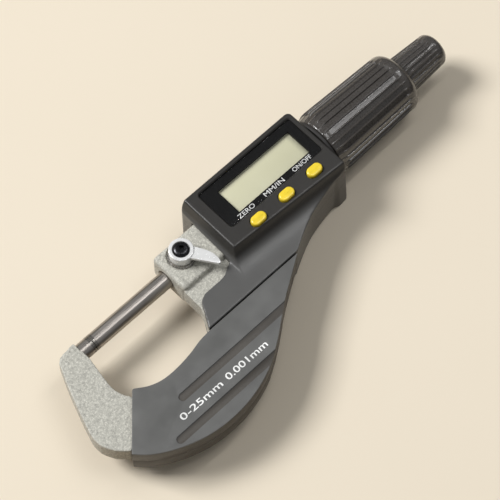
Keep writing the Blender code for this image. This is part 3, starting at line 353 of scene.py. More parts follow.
def rounded(low, high, radius, steps=8):
    """A rectangle in plan with round corners, anticlockwise."""
    x0, y0, x1, y1 = low[0], low[1], high[0], high[1]
    return (arc((x1 - radius, y1 - radius), radius, 0, 90, steps)
            + arc((x0 + radius, y1 - radius), radius, 90, 180, steps)
            + arc((x0 + radius, y0 + radius), radius, 180, 270, steps)
            + arc((x1 - radius, y0 + radius), radius, 270, 360, steps))


def offset(outline, distance):
    """The outline moved outwards by distance, for one that runs anticlockwise."""
    moved = []
    count = len(outline)
    for i, point in enumerate(outline):
        before = Vector(point) - Vector(outline[i - 1])
        after = Vector(outline[(i + 1) % count]) - Vector(point)
        first = Vector((before.y, -before.x)).normalized()
        second = Vector((after.y, -after.x)).normalized()
        lean = (first + second).normalized()
        reach = distance / max(0.5, lean.dot(first))
        moved.append((point[0] + lean.x * reach, point[1] + lean.y * reach))
    return moved


def place(piece, body, material, slot, *nodes, sharp=35.0):
    """Set a finished piece in the frame, on its body and in place of its CAD nodes."""
    piece.data.transform(PLACE)
    for polygon in piece.data.polygons:
        polygon.use_smooth = True
    piece.data.set_sharp_from_angle(angle=math.radians(sharp))
    piece.data.materials.clear()
    piece.data.materials.append(material)
    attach(piece, body)
    if nodes:
        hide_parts(*nodes)
    return piece


# Materials.

class Surface:
    """A Principled material with node helpers; lengths in its textures are in millimetres."""

    def __init__(self, name, roughness=0.5, metallic=0.0, **sockets):
        self.material = bpy.data.materials.new(name)
        self.material.use_nodes = True
        self.nodes = self.material.node_tree.nodes
        self.links = self.material.node_tree.links
        self.shader = self.nodes["Principled BSDF"]
        self.shader.inputs["Roughness"].default_value = roughness
        self.shader.inputs["Metallic"].default_value = metallic
        for socket, value in sockets.items():
            self.shader.inputs[socket.replace("_", " ")].default_value = value
        where = self.nodes.new("ShaderNodeTexCoord")
        self.millimetres = self.mapped(where.outputs["Object"], (1000, 1000, 1000))
        self.height = None

    def mapped(self, vector, scale):
        step = self.nodes.new("ShaderNodeVectorMath")
        step.operation = "MULTIPLY"
        step.inputs[1].default_value = scale
        self.links.new(vector, step.inputs[0])
        return step.outputs["Vector"]

    def noise(self, size, detail=3.0, stretch=(1, 1, 1)):
        """A noise value whose features are about size millimetres, longer where stretch is small."""
        step = self.nodes.new("ShaderNodeTexNoise")
        step.inputs["Scale"].default_value = 1.0 / size
        step.inputs["Detail"].default_value = detail
        self.links.new(self.mapped(self.millimetres, stretch), step.inputs["Vector"])
        return step.outputs["Fac"]

    def position(self, axis):
        """One coordinate of the shaded point, in millimetres."""
        step = self.nodes.new("ShaderNodeSeparateXYZ")
        self.links.new(self.millimetres, step.inputs["Vector"])
        return step.outputs[axis]

    def cells(self, size, feature="F1"):
        """Distance from the middle of the nearest cell, or from its edge."""
        step = self.nodes.new("ShaderNodeTexVoronoi")
        step.feature = feature
        step.inputs["Scale"].default_value = 1.0 / size
        self.links.new(self.millimetres, step.inputs["Vector"])
        return step.outputs["Distance"]

    def ranged(self, value, low, high, to_low, to_high):
        step = self.nodes.new("ShaderNodeMapRange")
        for i, number in enumerate((low, high, to_low, to_high)):
            step.inputs[i + 1].default_value = number
        self.links.new(value, step.inputs["Value"])
        return step.outputs["Result"]

    def math(self, operation, first, second):
        step = self.nodes.new("ShaderNodeMath")
        step.operation = operation
        for socket, value in zip(step.inputs, (first, second)):
            if isinstance(value, (int, float)):
                socket.default_value = value
            else:
                self.links.new(value, socket)
        return step.outputs["Value"]

    def colours(self, value, stops):
        """A colour ramp: stops are (position, colour)."""
        step = self.nodes.new("ShaderNodeValToRGB")
        ramp = step.color_ramp
        while len(ramp.elements) < len(stops):
            ramp.elements.new(0.5)
        for element, (position, colour) in zip(ramp.elements, stops):
            element.position = position
            element.color = (*colour, 1.0)
        self.links.new(value, step.inputs["Fac"])
        return step.outputs["Color"]

    def mix(self, share, first, second):
        step = self.nodes.new("ShaderNodeMix")
        step.data_type = "RGBA"
        for i, value in ((0, share), (6, first), (7, second)):
            socket = step.inputs[i]
            if isinstance(value, tuple):
                socket.default_value = (*value, 1.0)
            elif isinstance(value, (int, float)):
                socket.default_value = value
            else:
                self.links.new(value, socket)
        return step.outputs[2]

    def paint(self, colour):
        self.links.new(colour, self.shader.inputs["Base Color"])
        return self

    def rough(self, value):
        self.links.new(value, self.shader.inputs["Roughness"])
        return self

    def bump(self, value, depth, strength=1.0):
        """Relief of depth millimetres, added to any relief that is there already."""
        step = self.nodes.new("ShaderNodeBump")
        step.inputs["Strength"].default_value = strength
        step.inputs["Distance"].default_value = depth * 0.001
        self.links.new(value, step.inputs["Height"])
        if self.height:
            self.links.new(self.height, step.inputs["Normal"])
        self.height = step.outputs["Normal"]
        self.links.new(self.height, self.shader.inputs["Normal"])
        return self

    def cloudy(self, size, first, second):
        """Tone that drifts between two colours over size millimetres."""
        return self.mix(self.ranged(self.noise(size, 2.0), 0.3, 0.7, 0.0, 1.0), first, second)

    def grained(self, size, low, high, relief):
        """Fine grain: gloss uneven from low to high, and relief in millimetres."""
        fine = self.noise(size, 4.0)
        self.rough(self.ranged(fine, 0.3, 0.7, low, high))
        return self.bump(fine, relief)


def hammered_paint():
    """Silver-grey hammer finish: shallow dimples about half a millimetre across."""
    surface = Surface("hammered_paint", Specular_IOR_Level=0.3, Coat_Weight=0.08, Coat_Roughness=0.4)
    dimples = surface.cells(0.8, "SMOOTH_F1")
    flecks = surface.noise(0.42, 3.0)
    tone = surface.math("ADD", surface.math("MULTIPLY", dimples, 0.40),
                        surface.math("MULTIPLY", flecks, 0.75))
    surface.paint(surface.colours(tone, [(0.34, (0.66, 0.64, 0.57)), (0.49, (0.51, 0.50, 0.44)),
                                         (0.60, (0.44, 0.43, 0.38)), (0.78, (0.29, 0.28, 0.25))]))
    surface.rough(surface.ranged(flecks, 0.3, 0.7, 0.42, 0.60))
    surface.bump(dimples, 0.14)
    surface.bump(flecks, 0.09)
    return surface.material


def bow_plastic():
    """Satin grey on the flat faces of the bow, darker and browner in its grooves and round its side:
    painted shade there, and a painted reflection of a brown floor on the side.
    """
    surface = Surface("bow_plastic", roughness=0.42)
    height = surface.math("SUBTRACT", surface.position("Z"), 1000 * DATUM.z)
    share = surface.ranged(surface.math("ABSOLUTE", height, 0.0), COVER_OUT - 0.42, COVER_OUT - 0.28,
                           0.0, 1.0)
    face = surface.cloudy(9.0, (0.099, 0.099, 0.095), (0.133, 0.133, 0.128))
    # Painted shade and painted floor reflection, below the top face: in the grooves and round the side.
    sunk = surface.cloudy(9.0, (0.060, 0.052, 0.043), (0.074, 0.065, 0.054))
    surface.paint(surface.mix(share, sunk, face))
    return surface.grained(0.35, 0.36, 0.50, 0.02).material


def moulded_plastic(name, colour, roughness, grain=0.35, relief=0.02, shine=0.5):
    """Satin plastic from a spark-eroded mould: fine grain, faintly uneven tone and gloss."""
    surface = Surface(name, roughness=roughness, Specular_IOR_Level=shine)
    darker = tuple(0.86 * c for c in colour)
    lighter = tuple(1.16 * c for c in colour)
    surface.paint(surface.cloudy(9.0, darker, lighter))
    return surface.grained(grain, roughness - 0.06, roughness + 0.08, relief).material


def housing_plastic():
    """Near-black satin on the display's face, running into the bow's grey on the plateau; the run up the
    slope is in part two-tone moulding and in part painted reflection, darker towards the ridge.
    """
    surface = Surface("housing_plastic", roughness=0.34)
    top = 1000 * DATUM.z + HOUSING_TOP
    low = 1000 * DATUM.z + PLATEAU_Z
    # In part painted reflection: the blend darkens up the slope towards the ridge, as the slope's
    # reflection does.
    share = surface.ranged(surface.position("Z"), low + 0.4, 0.5 * (low + top), 0.0, 1.0)
    face = surface.mix(surface.noise(9.0, 2.0), (0.026, 0.024, 0.022), (0.035, 0.033, 0.030))
    plateau = surface.mix(surface.noise(9.0, 2.0), (0.085, 0.084, 0.082), (0.105, 0.104, 0.100))
    surface.paint(surface.mix(share, plateau, face))
    return surface.grained(0.35, 0.29, 0.42, 0.02).material


def glossy_plastic(name, colour, roughness, coat=0.4, relief=0.004):
    surface = Surface(name, roughness=roughness, Coat_Weight=coat, Coat_Roughness=0.08)
    surface.paint(surface.cloudy(3.0, tuple(0.9 * c for c in colour),
                                 tuple(min(1.0, 1.06 * c) for c in colour)))
    surface.rough(surface.ranged(surface.noise(0.6, 3.0), 0.3, 0.7, roughness - 0.04, roughness + 0.05))
    surface.bump(surface.noise(2.5, 1.0), relief)
    return surface.material


def ground_metal(name, colour, roughness, along=(0.02, 1.0, 1.0), streak=0.18, uneven=0.25):
    """Ground or turned metal: fine marks that run one way, with cloudy tone."""
    surface = Surface(name, roughness=roughness, metallic=1.0)
    marks = surface.noise(streak, 3.0, along)
    cloud = surface.noise(6.0, 3.0, along)
    dark = tuple((1.0 - uneven) * c for c in colour)
    surface.paint(surface.mix(surface.ranged(surface.math("ADD", marks, cloud), 0.7, 1.3, 0.0, 1.0),
                              dark, colour))
    surface.rough(surface.ranged(marks, 0.3, 0.7, roughness - 0.06, roughness + 0.10))
    surface.bump(marks, 0.006)
    return surface.material


def plain_metal(name, colour, roughness, size=0.5, metallic=1.0, relief=0.006):
    surface = Surface(name, roughness=roughness, metallic=metallic)
    surface.paint(surface.cloudy(4.0, tuple(0.88 * c for c in colour), colour))
    return surface.grained(size, max(0.03, roughness - 0.05), roughness + 0.06, relief).material


def liquid_crystal():
    """Blank reflective display: pale grey-green, darker along the two edges in its frame's shade."""
    surface = Surface("liquid_crystal", roughness=0.35)
    right = 1000 * DATUM.x + LCD_HIGH.x - LCD_EDGE
    back = 1000 * DATUM.y + LCD_HIGH.y - LCD_EDGE
    shade = surface.math("MULTIPLY",
                         surface.ranged(surface.position("X"), right, right - 2.2, 0.0, 1.0),
                         surface.ranged(surface.position("Y"), back, back - 2.2, 0.0, 1.0))
    cloud = surface.noise(14.0, 1.0)
    pale = surface.mix(surface.ranged(cloud, 0.3, 0.7, 0.0, 1.0), (0.75, 0.73, 0.51), (0.79, 0.77, 0.55))
    surface.paint(surface.mix(shade, (0.46, 0.45, 0.33), pale))
    surface.rough(surface.ranged(surface.noise(0.4), 0.3, 0.7, 0.30, 0.42))
    return surface.material


def clear_window():
    surface = Surface("clear_window", roughness=0.04, Alpha=0.06, Specular_IOR_Level=0.6)
    surface.paint(surface.mix(surface.noise(8.0), (0.02, 0.02, 0.02), (0.03, 0.03, 0.03)))
    surface.rough(surface.ranged(surface.noise(6.0), 0.3, 0.7, 0.03, 0.05))
    surface.material.surface_render_method = "BLENDED"
    return surface.material


def circuit_green():
    surface = Surface("solder_mask", roughness=0.4)
    tracks = surface.cells(1.6, "DISTANCE_TO_EDGE")
    surface.paint(surface.colours(tracks, [(0.0, (0.10, 0.34, 0.16)), (0.08, (0.02, 0.16, 0.06))]))
    surface.rough(surface.ranged(surface.noise(0.6), 0.3, 0.7, 0.32, 0.5))
    return surface.material


MATERIALS = {
    "casting": hammered_paint(),
    "cover": bow_plastic(),
    "housing": housing_plastic(),
    "grip": glossy_plastic("grip_plastic", (0.050, 0.044, 0.039), 0.28, 0.8, 0.002),
    "collar": moulded_plastic("collar_black", (0.022, 0.020, 0.019), 0.55),
    "mask": moulded_plastic("mask_black", (0.004, 0.004, 0.004), 0.45, shine=0.18),
    "window": clear_window(),
    "lcd": liquid_crystal(),
    "button": glossy_plastic("button_yellow", (0.90, 0.67, 0.04), 0.30, 0.3),
    "rubber": moulded_plastic("pad_rubber", (0.20, 0.20, 0.20), 0.80, 0.5, 0.03),
    "board": circuit_green(),
    "steel": ground_metal("ground_steel", (0.52, 0.48, 0.44), 0.31),
    "turned_steel": plain_metal("turned_steel", (0.55, 0.53, 0.50), 0.26),
    "carbide": ground_metal("lapped_carbide", (0.36, 0.34, 0.31), 0.28),
    "chrome": plain_metal("satin_chrome", (0.96, 0.96, 0.95), 0.24, 1.2, 0.28, 0.0003),
    "brass": plain_metal("bare_brass", (0.72, 0.54, 0.24), 0.28),
    "blackened": plain_metal("blackened_steel", (0.045, 0.045, 0.048), 0.30),
    "print": moulded_plastic("white_print", (0.86, 0.86, 0.84), 0.55, 0.2, 0.004),
}


# Outlines of the frame, anticlockwise in plan.

COVER_TOP_CORNER = (-2.7, -THROAT_DEPTH + 5.0)
COVER_LOW_CORNER = (-18.9, -41.3)
SEAM_LEFT = (BOSS_FACE - 4.3, SEAM_Y)
SEAM_RIGHT = (BOSS_FACE + 38.3, SEAM_Y)


def bow_outer(steps):
    """Outer edge of the bow, from the arm to the seam."""
    return smooth([COVER_LOW_CORNER, (-14.4, -45.8), (-8.6, -49.5), (-2.1, -52.4), (5.2, -54.5),
                   (13.7, -55.4), (23.8, -54.7), (34.9, -51.5), (45.1, -45.7), (57.4, -36.8),
                   (64.0, -32.6), SEAM_RIGHT], steps)


def bow_inner(steps):
    """Inner edge of the bow, from the seam back to the arm."""
    drop, reach = -THROAT_DEPTH, BOSS_FACE
    return smooth([SEAM_LEFT, (0.735 * reach, drop + 1.9), (0.57 * reach, drop + 0.7),
                   (0.385 * reach, drop), (0.205 * reach, drop + 0.2), (0.055 * reach, drop + 1.9),
                   COVER_TOP_CORNER], steps)


def bow_outline(steps=8):
    """The whole bow; an inset outline needs coarse steps, so that its corners don't fold."""
    return bow_outer(steps) + bow_inner(steps)


def round_last_corner(outline, size=0.8):
    """The outline with its last point, the cover's corner at the arm, rounded off."""
    corner, start = Vector(outline[-1]), Vector(outline[-3])
    end = corner + (Vector(outline[0]) - corner).normalized() * size
    bend = [start.lerp(corner, t).lerp(corner.lerp(end, t), t) for t in (0.0, 0.25, 0.5, 0.75, 1.0)]
    return outline[:-3] + [tuple(point) for point in bend]


def arm_joint(inset, back, forward):
    """Strip across the joint of arm and bow, inset from both edges, anticlockwise."""
    top, low = Vector(COVER_TOP_CORNER), Vector(COVER_LOW_CORNER)
    along = (low - top).normalized()
    across = Vector((-along.y, along.x))
    top, low = top + along * inset, low - along * inset
    return [tuple(p) for p in (low - across * back, low + across * forward,
                               top + across * forward, top - across * back)]


def arm_outline():
    """The bare arm, running a little way in under the covers."""
    outer = ([(-ANVIL_OUT, 3.1), (-12.2, 2.3), (-14.0, 0.8)]
             + smooth([(-14.6, -0.8), (-17.35, -7.3), (-20.1, -14.8), (-22.65, -22.4), (-23.9, -26.8),
                       (-24.05, -29.8), (-23.45, -32.4), (-21.35, -36.2), arm_joint(1.9, 0.1, 0)[0]]))
    inner = smooth([(-4.3, -25.3), (-5.9, -22.7), (-6.85, -18.8), (-6.35, -13.2), (-5.1, -4.9),
                    (0.3 - ANVIL_OUT, -2.0)])
    tongue = arm_joint(COVER_WALL + 1.1, 0.1, 2.8)
    return outer + tongue + [arm_joint(2.2, 0.1, 0)[3]] + inner


def throat_side():
    """Bare edge of the casting between the spindle block and the seam."""
    return [(BOSS_FACE, BOSS_Y_LOW), (BOSS_FACE, SEAM_Y + 8.8), (BOSS_FACE - 1.3, SEAM_Y + 5.4),
            (SEAM_LEFT[0] + 0.2, SEAM_Y + GAP)]


def core_outline():
    """The casting under the covers and in the housing."""
    inset = offset(bow_outline(INSET_STEPS), -COVER_WALL - GAP)
    split = len(bow_outer(INSET_STEPS))
    neck_left = SEAM_LEFT[0] + COVER_WALL + GAP
    neck_right = SEAM_RIGHT[0] - NECK_IN
    low, high = BOSS_Y_LOW, BOSS_Y_LOW + 2.0
    sill = SEAM_Y - COVER_WALL - GAP
    bridge = [(neck_right, sill), (neck_right, SEAM_Y + 2.6), (BOSS_FACE + 52.0, -17.4),
              (REAR_BOSS_END, -13.4), (REAR_BOSS_END, high), (REAR_BOSS_START, high),
              (REAR_BOSS_START, low), (BOSS_END, low), (BOSS_END, high), (BOSS_FACE + 1.0, high)]
    return (inset[1:split - 2] + bridge + throat_side()
            + [(neck_left, SEAM_Y + GAP), (neck_left, sill)] + inset[split + 1:-1])


def housing_outline():
    """Plan of the housing, from the throat round the display to the seam."""
    front, side, end = BOSS_FACE, HOUSING_SIDE, HOUSING_END
    return ([(front - 4.1, SEAM_Y + SEAM_GAP), (front + 38.9, SEAM_Y + SEAM_GAP)]
            + smooth([(front + 40.6, SEAM_Y + 1.5), (front + 46.2, -22.3), (front + 53.4, -19.4),
                      (end - 10.0, -17.2), (end - 1.2, -16.1)])
            + [(end, -15.0)]
            + arc((end - 2.0, side - 2.0), 2.0, 0, 90)
            + arc((HOUSING_START, side - 2.0), 2.0, 90, 180)
            + [(HOUSING_START - 2.6, -12.5), (front + 14.0, -15.2), (front + 11.0, -15.6)]
            + smooth([(front + 4.0, -15.6), (front + 1.3, -16.9), (front - 0.3, -19.6)]))


# The casting.

def make_casting():
    """Arm, spindle block and throat side, softened like a painted casting, and the hidden core."""
    arm = prism("casting_arm", arm_outline(), -ARM_Z, ARM_Z)
    soften(arm, 0.35, 6, 0.4)
    cut(arm, plug("anvil_hole", -ANVIL_OUT - ANVIL_SHANK, 2 - ANVIL_OUT, ANVIL_SHANK_R + 0.1, steps=48))
    core = prism("casting_core", core_outline(), -FRAME_Z, FRAME_Z)
    cut(core, block("core_room", (BOSS_FACE - 9, SEAM_Y + GAP, -9), (BOSS_END - 2, 9, 9)))
    rear = block("rear_block", (REAR_BOSS_START, BOSS_Y_LOW - 1.0, -REAR_BOSS_Z),
                 (REAR_BOSS_END, SLEEVE_R + 2.6, REAR_BOSS_Z))
    join(core, rear)
    round_edges(core, 0.3, 1, 50)
    cut(core, plug("sleeve_room", REAR_BOSS_START - 2, REAR_BOSS_END + 2, SLEEVE_R + GAP))
    head = make_head()
    paint = MATERIALS["casting"]
    place(arm, "frame", paint, "casting", "frame", sharp=50)
    place(head, "frame", paint, "casting", "frame", sharp=50)
    place(core, "frame", paint, "casting", "frame")


def make_head():
    """The spindle block with the bare throat side that joins it to the bow."""
    high = BOSS_Y_LOW + 2.0
    side = throat_side()
    plan = side + [(SEAM_LEFT[0] + COVER_WALL + GAP + 0.5, SEAM_Y + GAP), (BOSS_FACE + 9, SEAM_Y + GAP),
                   (BOSS_END - 2.2, -15.0), (BOSS_END - 2.2, high), (BOSS_FACE + 1.0, high)]
    head = prism("casting_head", plan, -FRAME_Z, FRAME_Z)
    boss = block("boss", (BOSS_FACE, BOSS_Y_LOW, -BOSS_TOP), (BOSS_END, BOSS_Y_HIGH, BOSS_TOP))
    round_edges(boss, 1.5, 5)
    join(head, boss)
    soften(head, 0.3, 5, 0.5)
    recess = LOCK_HUB_R + 1.1
    cut(head,
        turned("spindle_room", [(BOSS_FACE - 3, 0), (BOSS_FACE - 3, BORE_R + 1.6),
                                (BOSS_FACE + 0.9, BORE_R), (BOSS_END + 2, BORE_R), (BOSS_END + 2, 0)]),
        turned("lock_room", [(BOSS_TOP + 3, 0), (BOSS_TOP + 3, recess),
                             (BOSS_TOP - LOCK_SEAT_SINK, recess),
                             (BOSS_TOP - LOCK_SEAT_SINK, LOCK_SHANK_R + GAP),
                             (0, LOCK_SHANK_R + GAP), (0, 0)], at=LOCK, about_x=False))
    return head


# Covers of the bow.

def groove(name, line, side, row):
    """A long shallow groove, its floor leaning down towards its lower edge."""
    start = 6.0 - 11.0 * row
    end = 64.0 - 8.0 * row
    half = GROOVE_W / 2
    plan = [(end, -half), (end, half)] + arc((start + half, 0), half, 90, 270, 12)
    plate = prism(name, plan, -1, 1)
    lean = Matrix.Rotation(side * math.atan2(GROOVE_TILT, GROOVE_W), 4, "X")
    lift = Matrix.Translation((0, line - half, side * (COVER_OUT - GROOVE_DEPTH + 1)))
    plate.data.transform(lift @ lean)
    return plate


def seam_bevel(name, side):
    """The cover falls away a little towards the seam with the housing."""
    width, depth = 2.7, 0.45
    plate = block(name, (SEAM_LEFT[0] - 8, -width / 2 - 1, -1), (SEAM_RIGHT[0] + 8, width / 2 + 1, 1))
    lean = Matrix.Rotation(-side * math.atan2(depth, width), 4, "X")
    lift = Matrix.Translation((0, SEAM_Y - width / 2 + 1,
                               side * (COVER_OUT + 1 - depth / 2 + 0.1)))
    plate.data.transform(lift @ lean)
    return plate


def make_bow_cover(node, side):
    outside = node.replace("cover", "shell")
    cover = prism(outside, round_last_corner(bow_outline()), *sorted((-side * 2.0, side * COVER_OUT)))
    round_edges(cover, 0.55, 4, 40)
    cut(cover, half_room(side))
    deep = sorted((-side * 3.0, side * COVER_IN))
    pocket = offset(bow_outline(INSET_STEPS), -COVER_WALL)
    cut(cover, prism("pocket", pocket, *deep),
        prism("mouth", arm_joint(COVER_WALL, 3, 3), *deep),
        block("neck", (SEAM_LEFT[0] + COVER_WALL, SEAM_Y - 4, deep[0]),
              (SEAM_RIGHT[0] - NECK_IN + GAP, SEAM_Y + 4, deep[1])))
    cut(cover, *[groove(f"groove_{i}", line, side, i) for i, line in enumerate(GROOVE_LINES)])
    cut(cover, seam_bevel("bevel", side))
    if side < 0:
        for screw in ("cover_screw_1", "cover_screw_2"):
            cut(cover, screw_room(screw))
    round_edges(cover, 0.10, 2, 20)
    place(cover, "frame", MATERIALS["cover"], "cover", node)


def screw_room(node):
    """A stepped hole round a screw driven from the back."""
    low, high = span(node)
    x, y = (low.x + high.x) / 2, (low.y + high.y) / 2
    wide, narrow = (high.x - low.x) / 2 + 0.2, 1.5
    seat = low.z + 1.45
    return turned("screw_room", [(high.z + 2, 0), (high.z + 2, narrow), (seat, narrow), (seat, wide),
                                 (low.z - 4, wide), (low.z - 4, 0)], at=(x, y), about_x=False, steps=48)


# The housing.

def slope_tool():
    """Clears the housing from the ridge beside the buttons down to the plateau."""
    above = HOUSING_TOP + 3
    drop = HOUSING_TOP - PLATEAU_Z
    slope = [(0.0, above), (0.0, HOUSING_TOP)]
    slope += smooth([(-0.2, HOUSING_TOP - 0.25), (-1.5, HOUSING_TOP - 0.40 * drop),
                     (-3.6, HOUSING_TOP - 0.76 * drop), (-7.4, PLATEAU_Z + 0.3), (-13.0, PLATEAU_Z),
                     (-20.0, PLATEAU_Z)])
    slope += [(-20.0, above)]
    tool = prism("slope", slope, BOSS_FACE - 12, HOUSING_END + 6, along_x=True)
    middle = (BOSS_FACE - 12 + HOUSING_END + 6) / 2
    tool.data.transform(Matrix.Translation((middle, RIDGE_Y, 0)) @ Matrix.Rotation(-RIDGE_LEAN, 4, "Z")
                        @ Matrix.Translation((-middle, 0, 0)))
    return tool


def end_wall_tool(side, start, depth):
    """Clears the housing from the wall at its anvil end to the plateau, on one side."""
    wall = [(start + 0.3, depth + 3), (start + 0.3, depth), (start - 0.1, depth - 0.6),
            (start - 1.6, PLATEAU_Z + 1.6), (start - 2.9, PLATEAU_Z + 0.2), (start - 5.0, PLATEAU_Z),
            (BOSS_FACE - 9, PLATEAU_Z), (BOSS_FACE - 9, depth + 3)]
    tool = prism("end_wall", [(x, side * z) for x, z in wall], -40, 40)
    tool.data.transform(Matrix.Rotation(math.pi / 2, 4, "X"))
    return tool


def housing_rooms(side):
    """Tools that clear the inside of a housing half for the works and the casting."""
    far = HOUSING_TOP - HOUSING_LID if side > 0 else HOUSING_LID - HOUSING_BACK
    low, high = sorted((-side * 2, side * far))
    return [
        plug("sleeve_room", CAVITY_END - 1, HOUSING_END + 1, SLEEVE_R + GAP),
        block("cavity", (CAVITY_START, RIDGE_Y + 0.8, low),
              (CAVITY_END, HOUSING_SIDE - HOUSING_WALL, high)),
        prism("casting_room", offset(core_outline(), GAP), *sorted((-side * 2, side * COVER_IN))),
        block("throat_room", (BOSS_FACE - 8, SEAM_Y - 2, -COVER_IN),
              (BOSS_FACE + 6, BOSS_Y_LOW, COVER_IN)),
        block("boss_room", (BOSS_FACE - 2, BOSS_Y_LOW - GAP, -BOSS_TOP - GAP),
              (BOSS_END + 1, BOSS_Y_HIGH + GAP, BOSS_TOP + GAP)),
    ]


def lean_end(piece):
    """The housing's end wall leans outwards towards the back, most at the corner by the thimble."""
    for vertex in piece.data.vertices:
        if vertex.co.x > HOUSING_END - 6:
            lean = END_LEAN * (HOUSING_TOP - vertex.co.z)
            vertex.co.x += lean
            if vertex.co.y < RIDGE_Y:
                vertex.co.y -= lean
    return piece


def make_front_housing():
    housing = lean_end(prism("front_housing_shell", housing_outline(), -2.5, HOUSING_TOP))
    cut(housing, slope_tool(), end_wall_tool(1, HOUSING_START, HOUSING_TOP))
    soften(housing, 0.3, 8, 0.45)
    cut(housing, half_room(1), *housing_rooms(1))
    rim = rounded(WINDOW_LOW - Vector((0.15, 0.15, 0)), WINDOW_HIGH + Vector((0.15, 0.15, 0)),
                  WINDOW_ROUND + 0.15)
    flare = [[(x, y, z) for x, y in offset(rim, grow)]
             for z, grow in ((HOUSING_TOP + 1.0, 1.5), (HOUSING_TOP - 0.45, 0.0),
                             (HOUSING_TOP - HOUSING_LID - 2, 0.0))]
    cut(housing, loft("window_room", flare, closed=False, caps=True))
    for name in BUTTONS:
        low, high = span(name)
        room = rounded(low - Vector((0.22, 0.22, 0)), high + Vector((0.22, 0.22, 0)), 2.25)
        cut(housing, prism("button_room", room, HOUSING_TOP - 4, HOUSING_TOP + 2))
    place(housing, "frame", MATERIALS["housing"], "housing", "front_housing", sharp=40)


def make_rear_housing():
    housing = lean_end(prism("rear_housing_shell", housing_outline(), -HOUSING_BACK, 2.5))
    cut(housing, end_wall_tool(-1, DEEP_BACK_X, HOUSING_BACK))
    soften(housing, 0.35, 8, 0.4)
    cut(housing, half_room(-1), *housing_rooms(-1))
    low, high = span("battery_cover")
    x = (low.x + high.x) / 2
    below, inside = -HOUSING_BACK - 2, HOUSING_LID - HOUSING_BACK + 1
    cut(housing,
        plug("door_room", below, inside, DOOR_ROOM_R, at=(x, 0), about_x=False),
        block("notches", (x - 1.9, -8.8, below), (x + 1.9, 8.8, inside)))
    for i in range(3):
        cut(housing, screw_room(f"back_screw_{i + 1}"))
    place(housing, "frame", MATERIALS["housing"], "housing", "rear_housing", sharp=40)


# Display, labels and buttons.

def make_display():
    plan = rounded(WINDOW_LOW, WINDOW_HIGH, WINDOW_ROUND)
    window = prism("window_pane", plan, WINDOW_LOW.z, WINDOW_HIGH.z)
    round_edges(window, 0.15, 2)
    place(window, "frame", MATERIALS["window"], "window", "display_window")
    mask = prism("mask_plate", plan, MASK_LOW.z, MASK_HIGH.z)
    opening = (LCD_LOW + Vector((LCD_EDGE, LCD_EDGE, 0)), LCD_HIGH - Vector((LCD_EDGE, LCD_EDGE, 0)))
    cut(mask, prism("opening", rounded(*opening, 0.15), MASK_LOW.z - 1, MASK_HIGH.z + 1))
    place(mask, "frame", MATERIALS["mask"], "mask", "display_mask")
    panel = block("lcd_glass", LCD_LOW, LCD_HIGH)
    round_edges(panel, 0.1, 2)
    place(panel, "frame", MATERIALS["lcd"], "lcd", "lcd_panel")


def letter(name, words, x, y, z, height, width):
    """Printed words, height tall in capitals and stretched to width, a hair above their surface."""
    curve = bpy.data.curves.new(name, "FONT")
    curve.body = words
    curve.size = height / CAPITAL_SHARE
    curve.align_x = "CENTER"
    curve.resolution_u = 6
    curve.offset = 0.012 * height
    curve.extrude = 0.01
    text = bpy.data.objects.new(name, curve)
    bpy.context.scene.collection.objects.link(text)
    bpy.context.view_layer.update()
    mesh = bpy.data.meshes.new_from_object(text.evaluated_get(bpy.context.evaluated_depsgraph_get()))
    bpy.data.objects.remove(text, do_unlink=True)
    xs = [vertex.co.x for vertex in mesh.vertices]
    middle = (min(xs) + max(xs)) / 2
    stretch = width / (max(xs) - min(xs))
    mesh.transform(Matrix.Translation((x, y, z)) @ Matrix.Diagonal((stretch, 1, 1, 1))
                   @ Matrix.Translation((-middle, 0, 0)))
    piece = new_piece(name, mesh)
    return place(piece, "frame", MATERIALS["print"], "mask" if z > COVER_OUT + 1 else "cover")


def make_labels():
    """Plain words for the keys and the measuring range."""
    for name, word, x, width in (("label_zero", "ZERO", 70.3, 7.6), ("label_units", "MM/IN", 83.8, 9.4),
                                 ("label_power", "ON/OFF", 97.6, 8.8)):
        letter(name, word, x, -5.1, MASK_HIGH.z + PRINT_LIFT, 1.75, width)
    for name, word, x in (("label_range", "0-25mm", 11.1), ("label_step", "0.001mm", 32.3)):
        letter(name, word, x, -44.65, COVER_OUT + PRINT_LIFT, 2.45, 18.8)


def make_buttons():
    for name in BUTTONS:
        low, high = span(name)
        room = Vector((BUTTON_ROOM, BUTTON_ROOM, 0))
        low, high = low + room, high - room
        radius = (high.y - low.y) / 2 - 0.02
        base = rounded(low, high, radius, 10)
        levels = ((low.z, 0.0), (high.z - 0.75, 0.0), (high.z - 0.42, 0.05), (high.z - 0.18, 0.2),
                  (high.z - 0.05, 0.5), (high.z, 1.0))
        rings = [[(x, y, z) for x, y in offset(base, -shrink)] for z, shrink in levels]
        cap = loft(name + "_cap", rings, closed=False, caps=True)
        place(cap, name, MATERIALS["button"], "button", name, sharp=40)


# Measuring train, sleeve, thimble and ratchet.

def make_train():
    edge = 0.12
    anvil = turned("anvil_body", [(-TIP_T - SEAT, 0), (-TIP_T - SEAT, SPINDLE_R),
                                  (0.3 - ANVIL_OUT, SPINDLE_R), (0.3 - ANVIL_OUT, ANVIL_SHANK_R),
                                  (-ANVIL_OUT - ANVIL_SHANK + 0.1, ANVIL_SHANK_R),
                                  (-ANVIL_OUT - ANVIL_SHANK + 0.1, 0)])
    place(anvil, "frame", MATERIALS["steel"], "steel", "anvil")
    tip = turned("anvil_face", [(0, 0), (0, SPINDLE_R - edge), (-edge, SPINDLE_R),
                                (-TIP_T, SPINDLE_R), (-TIP_T, 0)])
    place(tip, "frame", MATERIALS["carbide"], "carbide", "anvil_tip")
    start = SPINDLE_START
    face = turned("spindle_face", [(start, 0), (start, SPINDLE_R - edge), (start + edge, SPINDLE_R),
                                   (start + TIP_T, SPINDLE_R), (start + TIP_T, 0)])
    place(face, "spindle", MATERIALS["carbide"], "carbide", "spindle_tip")


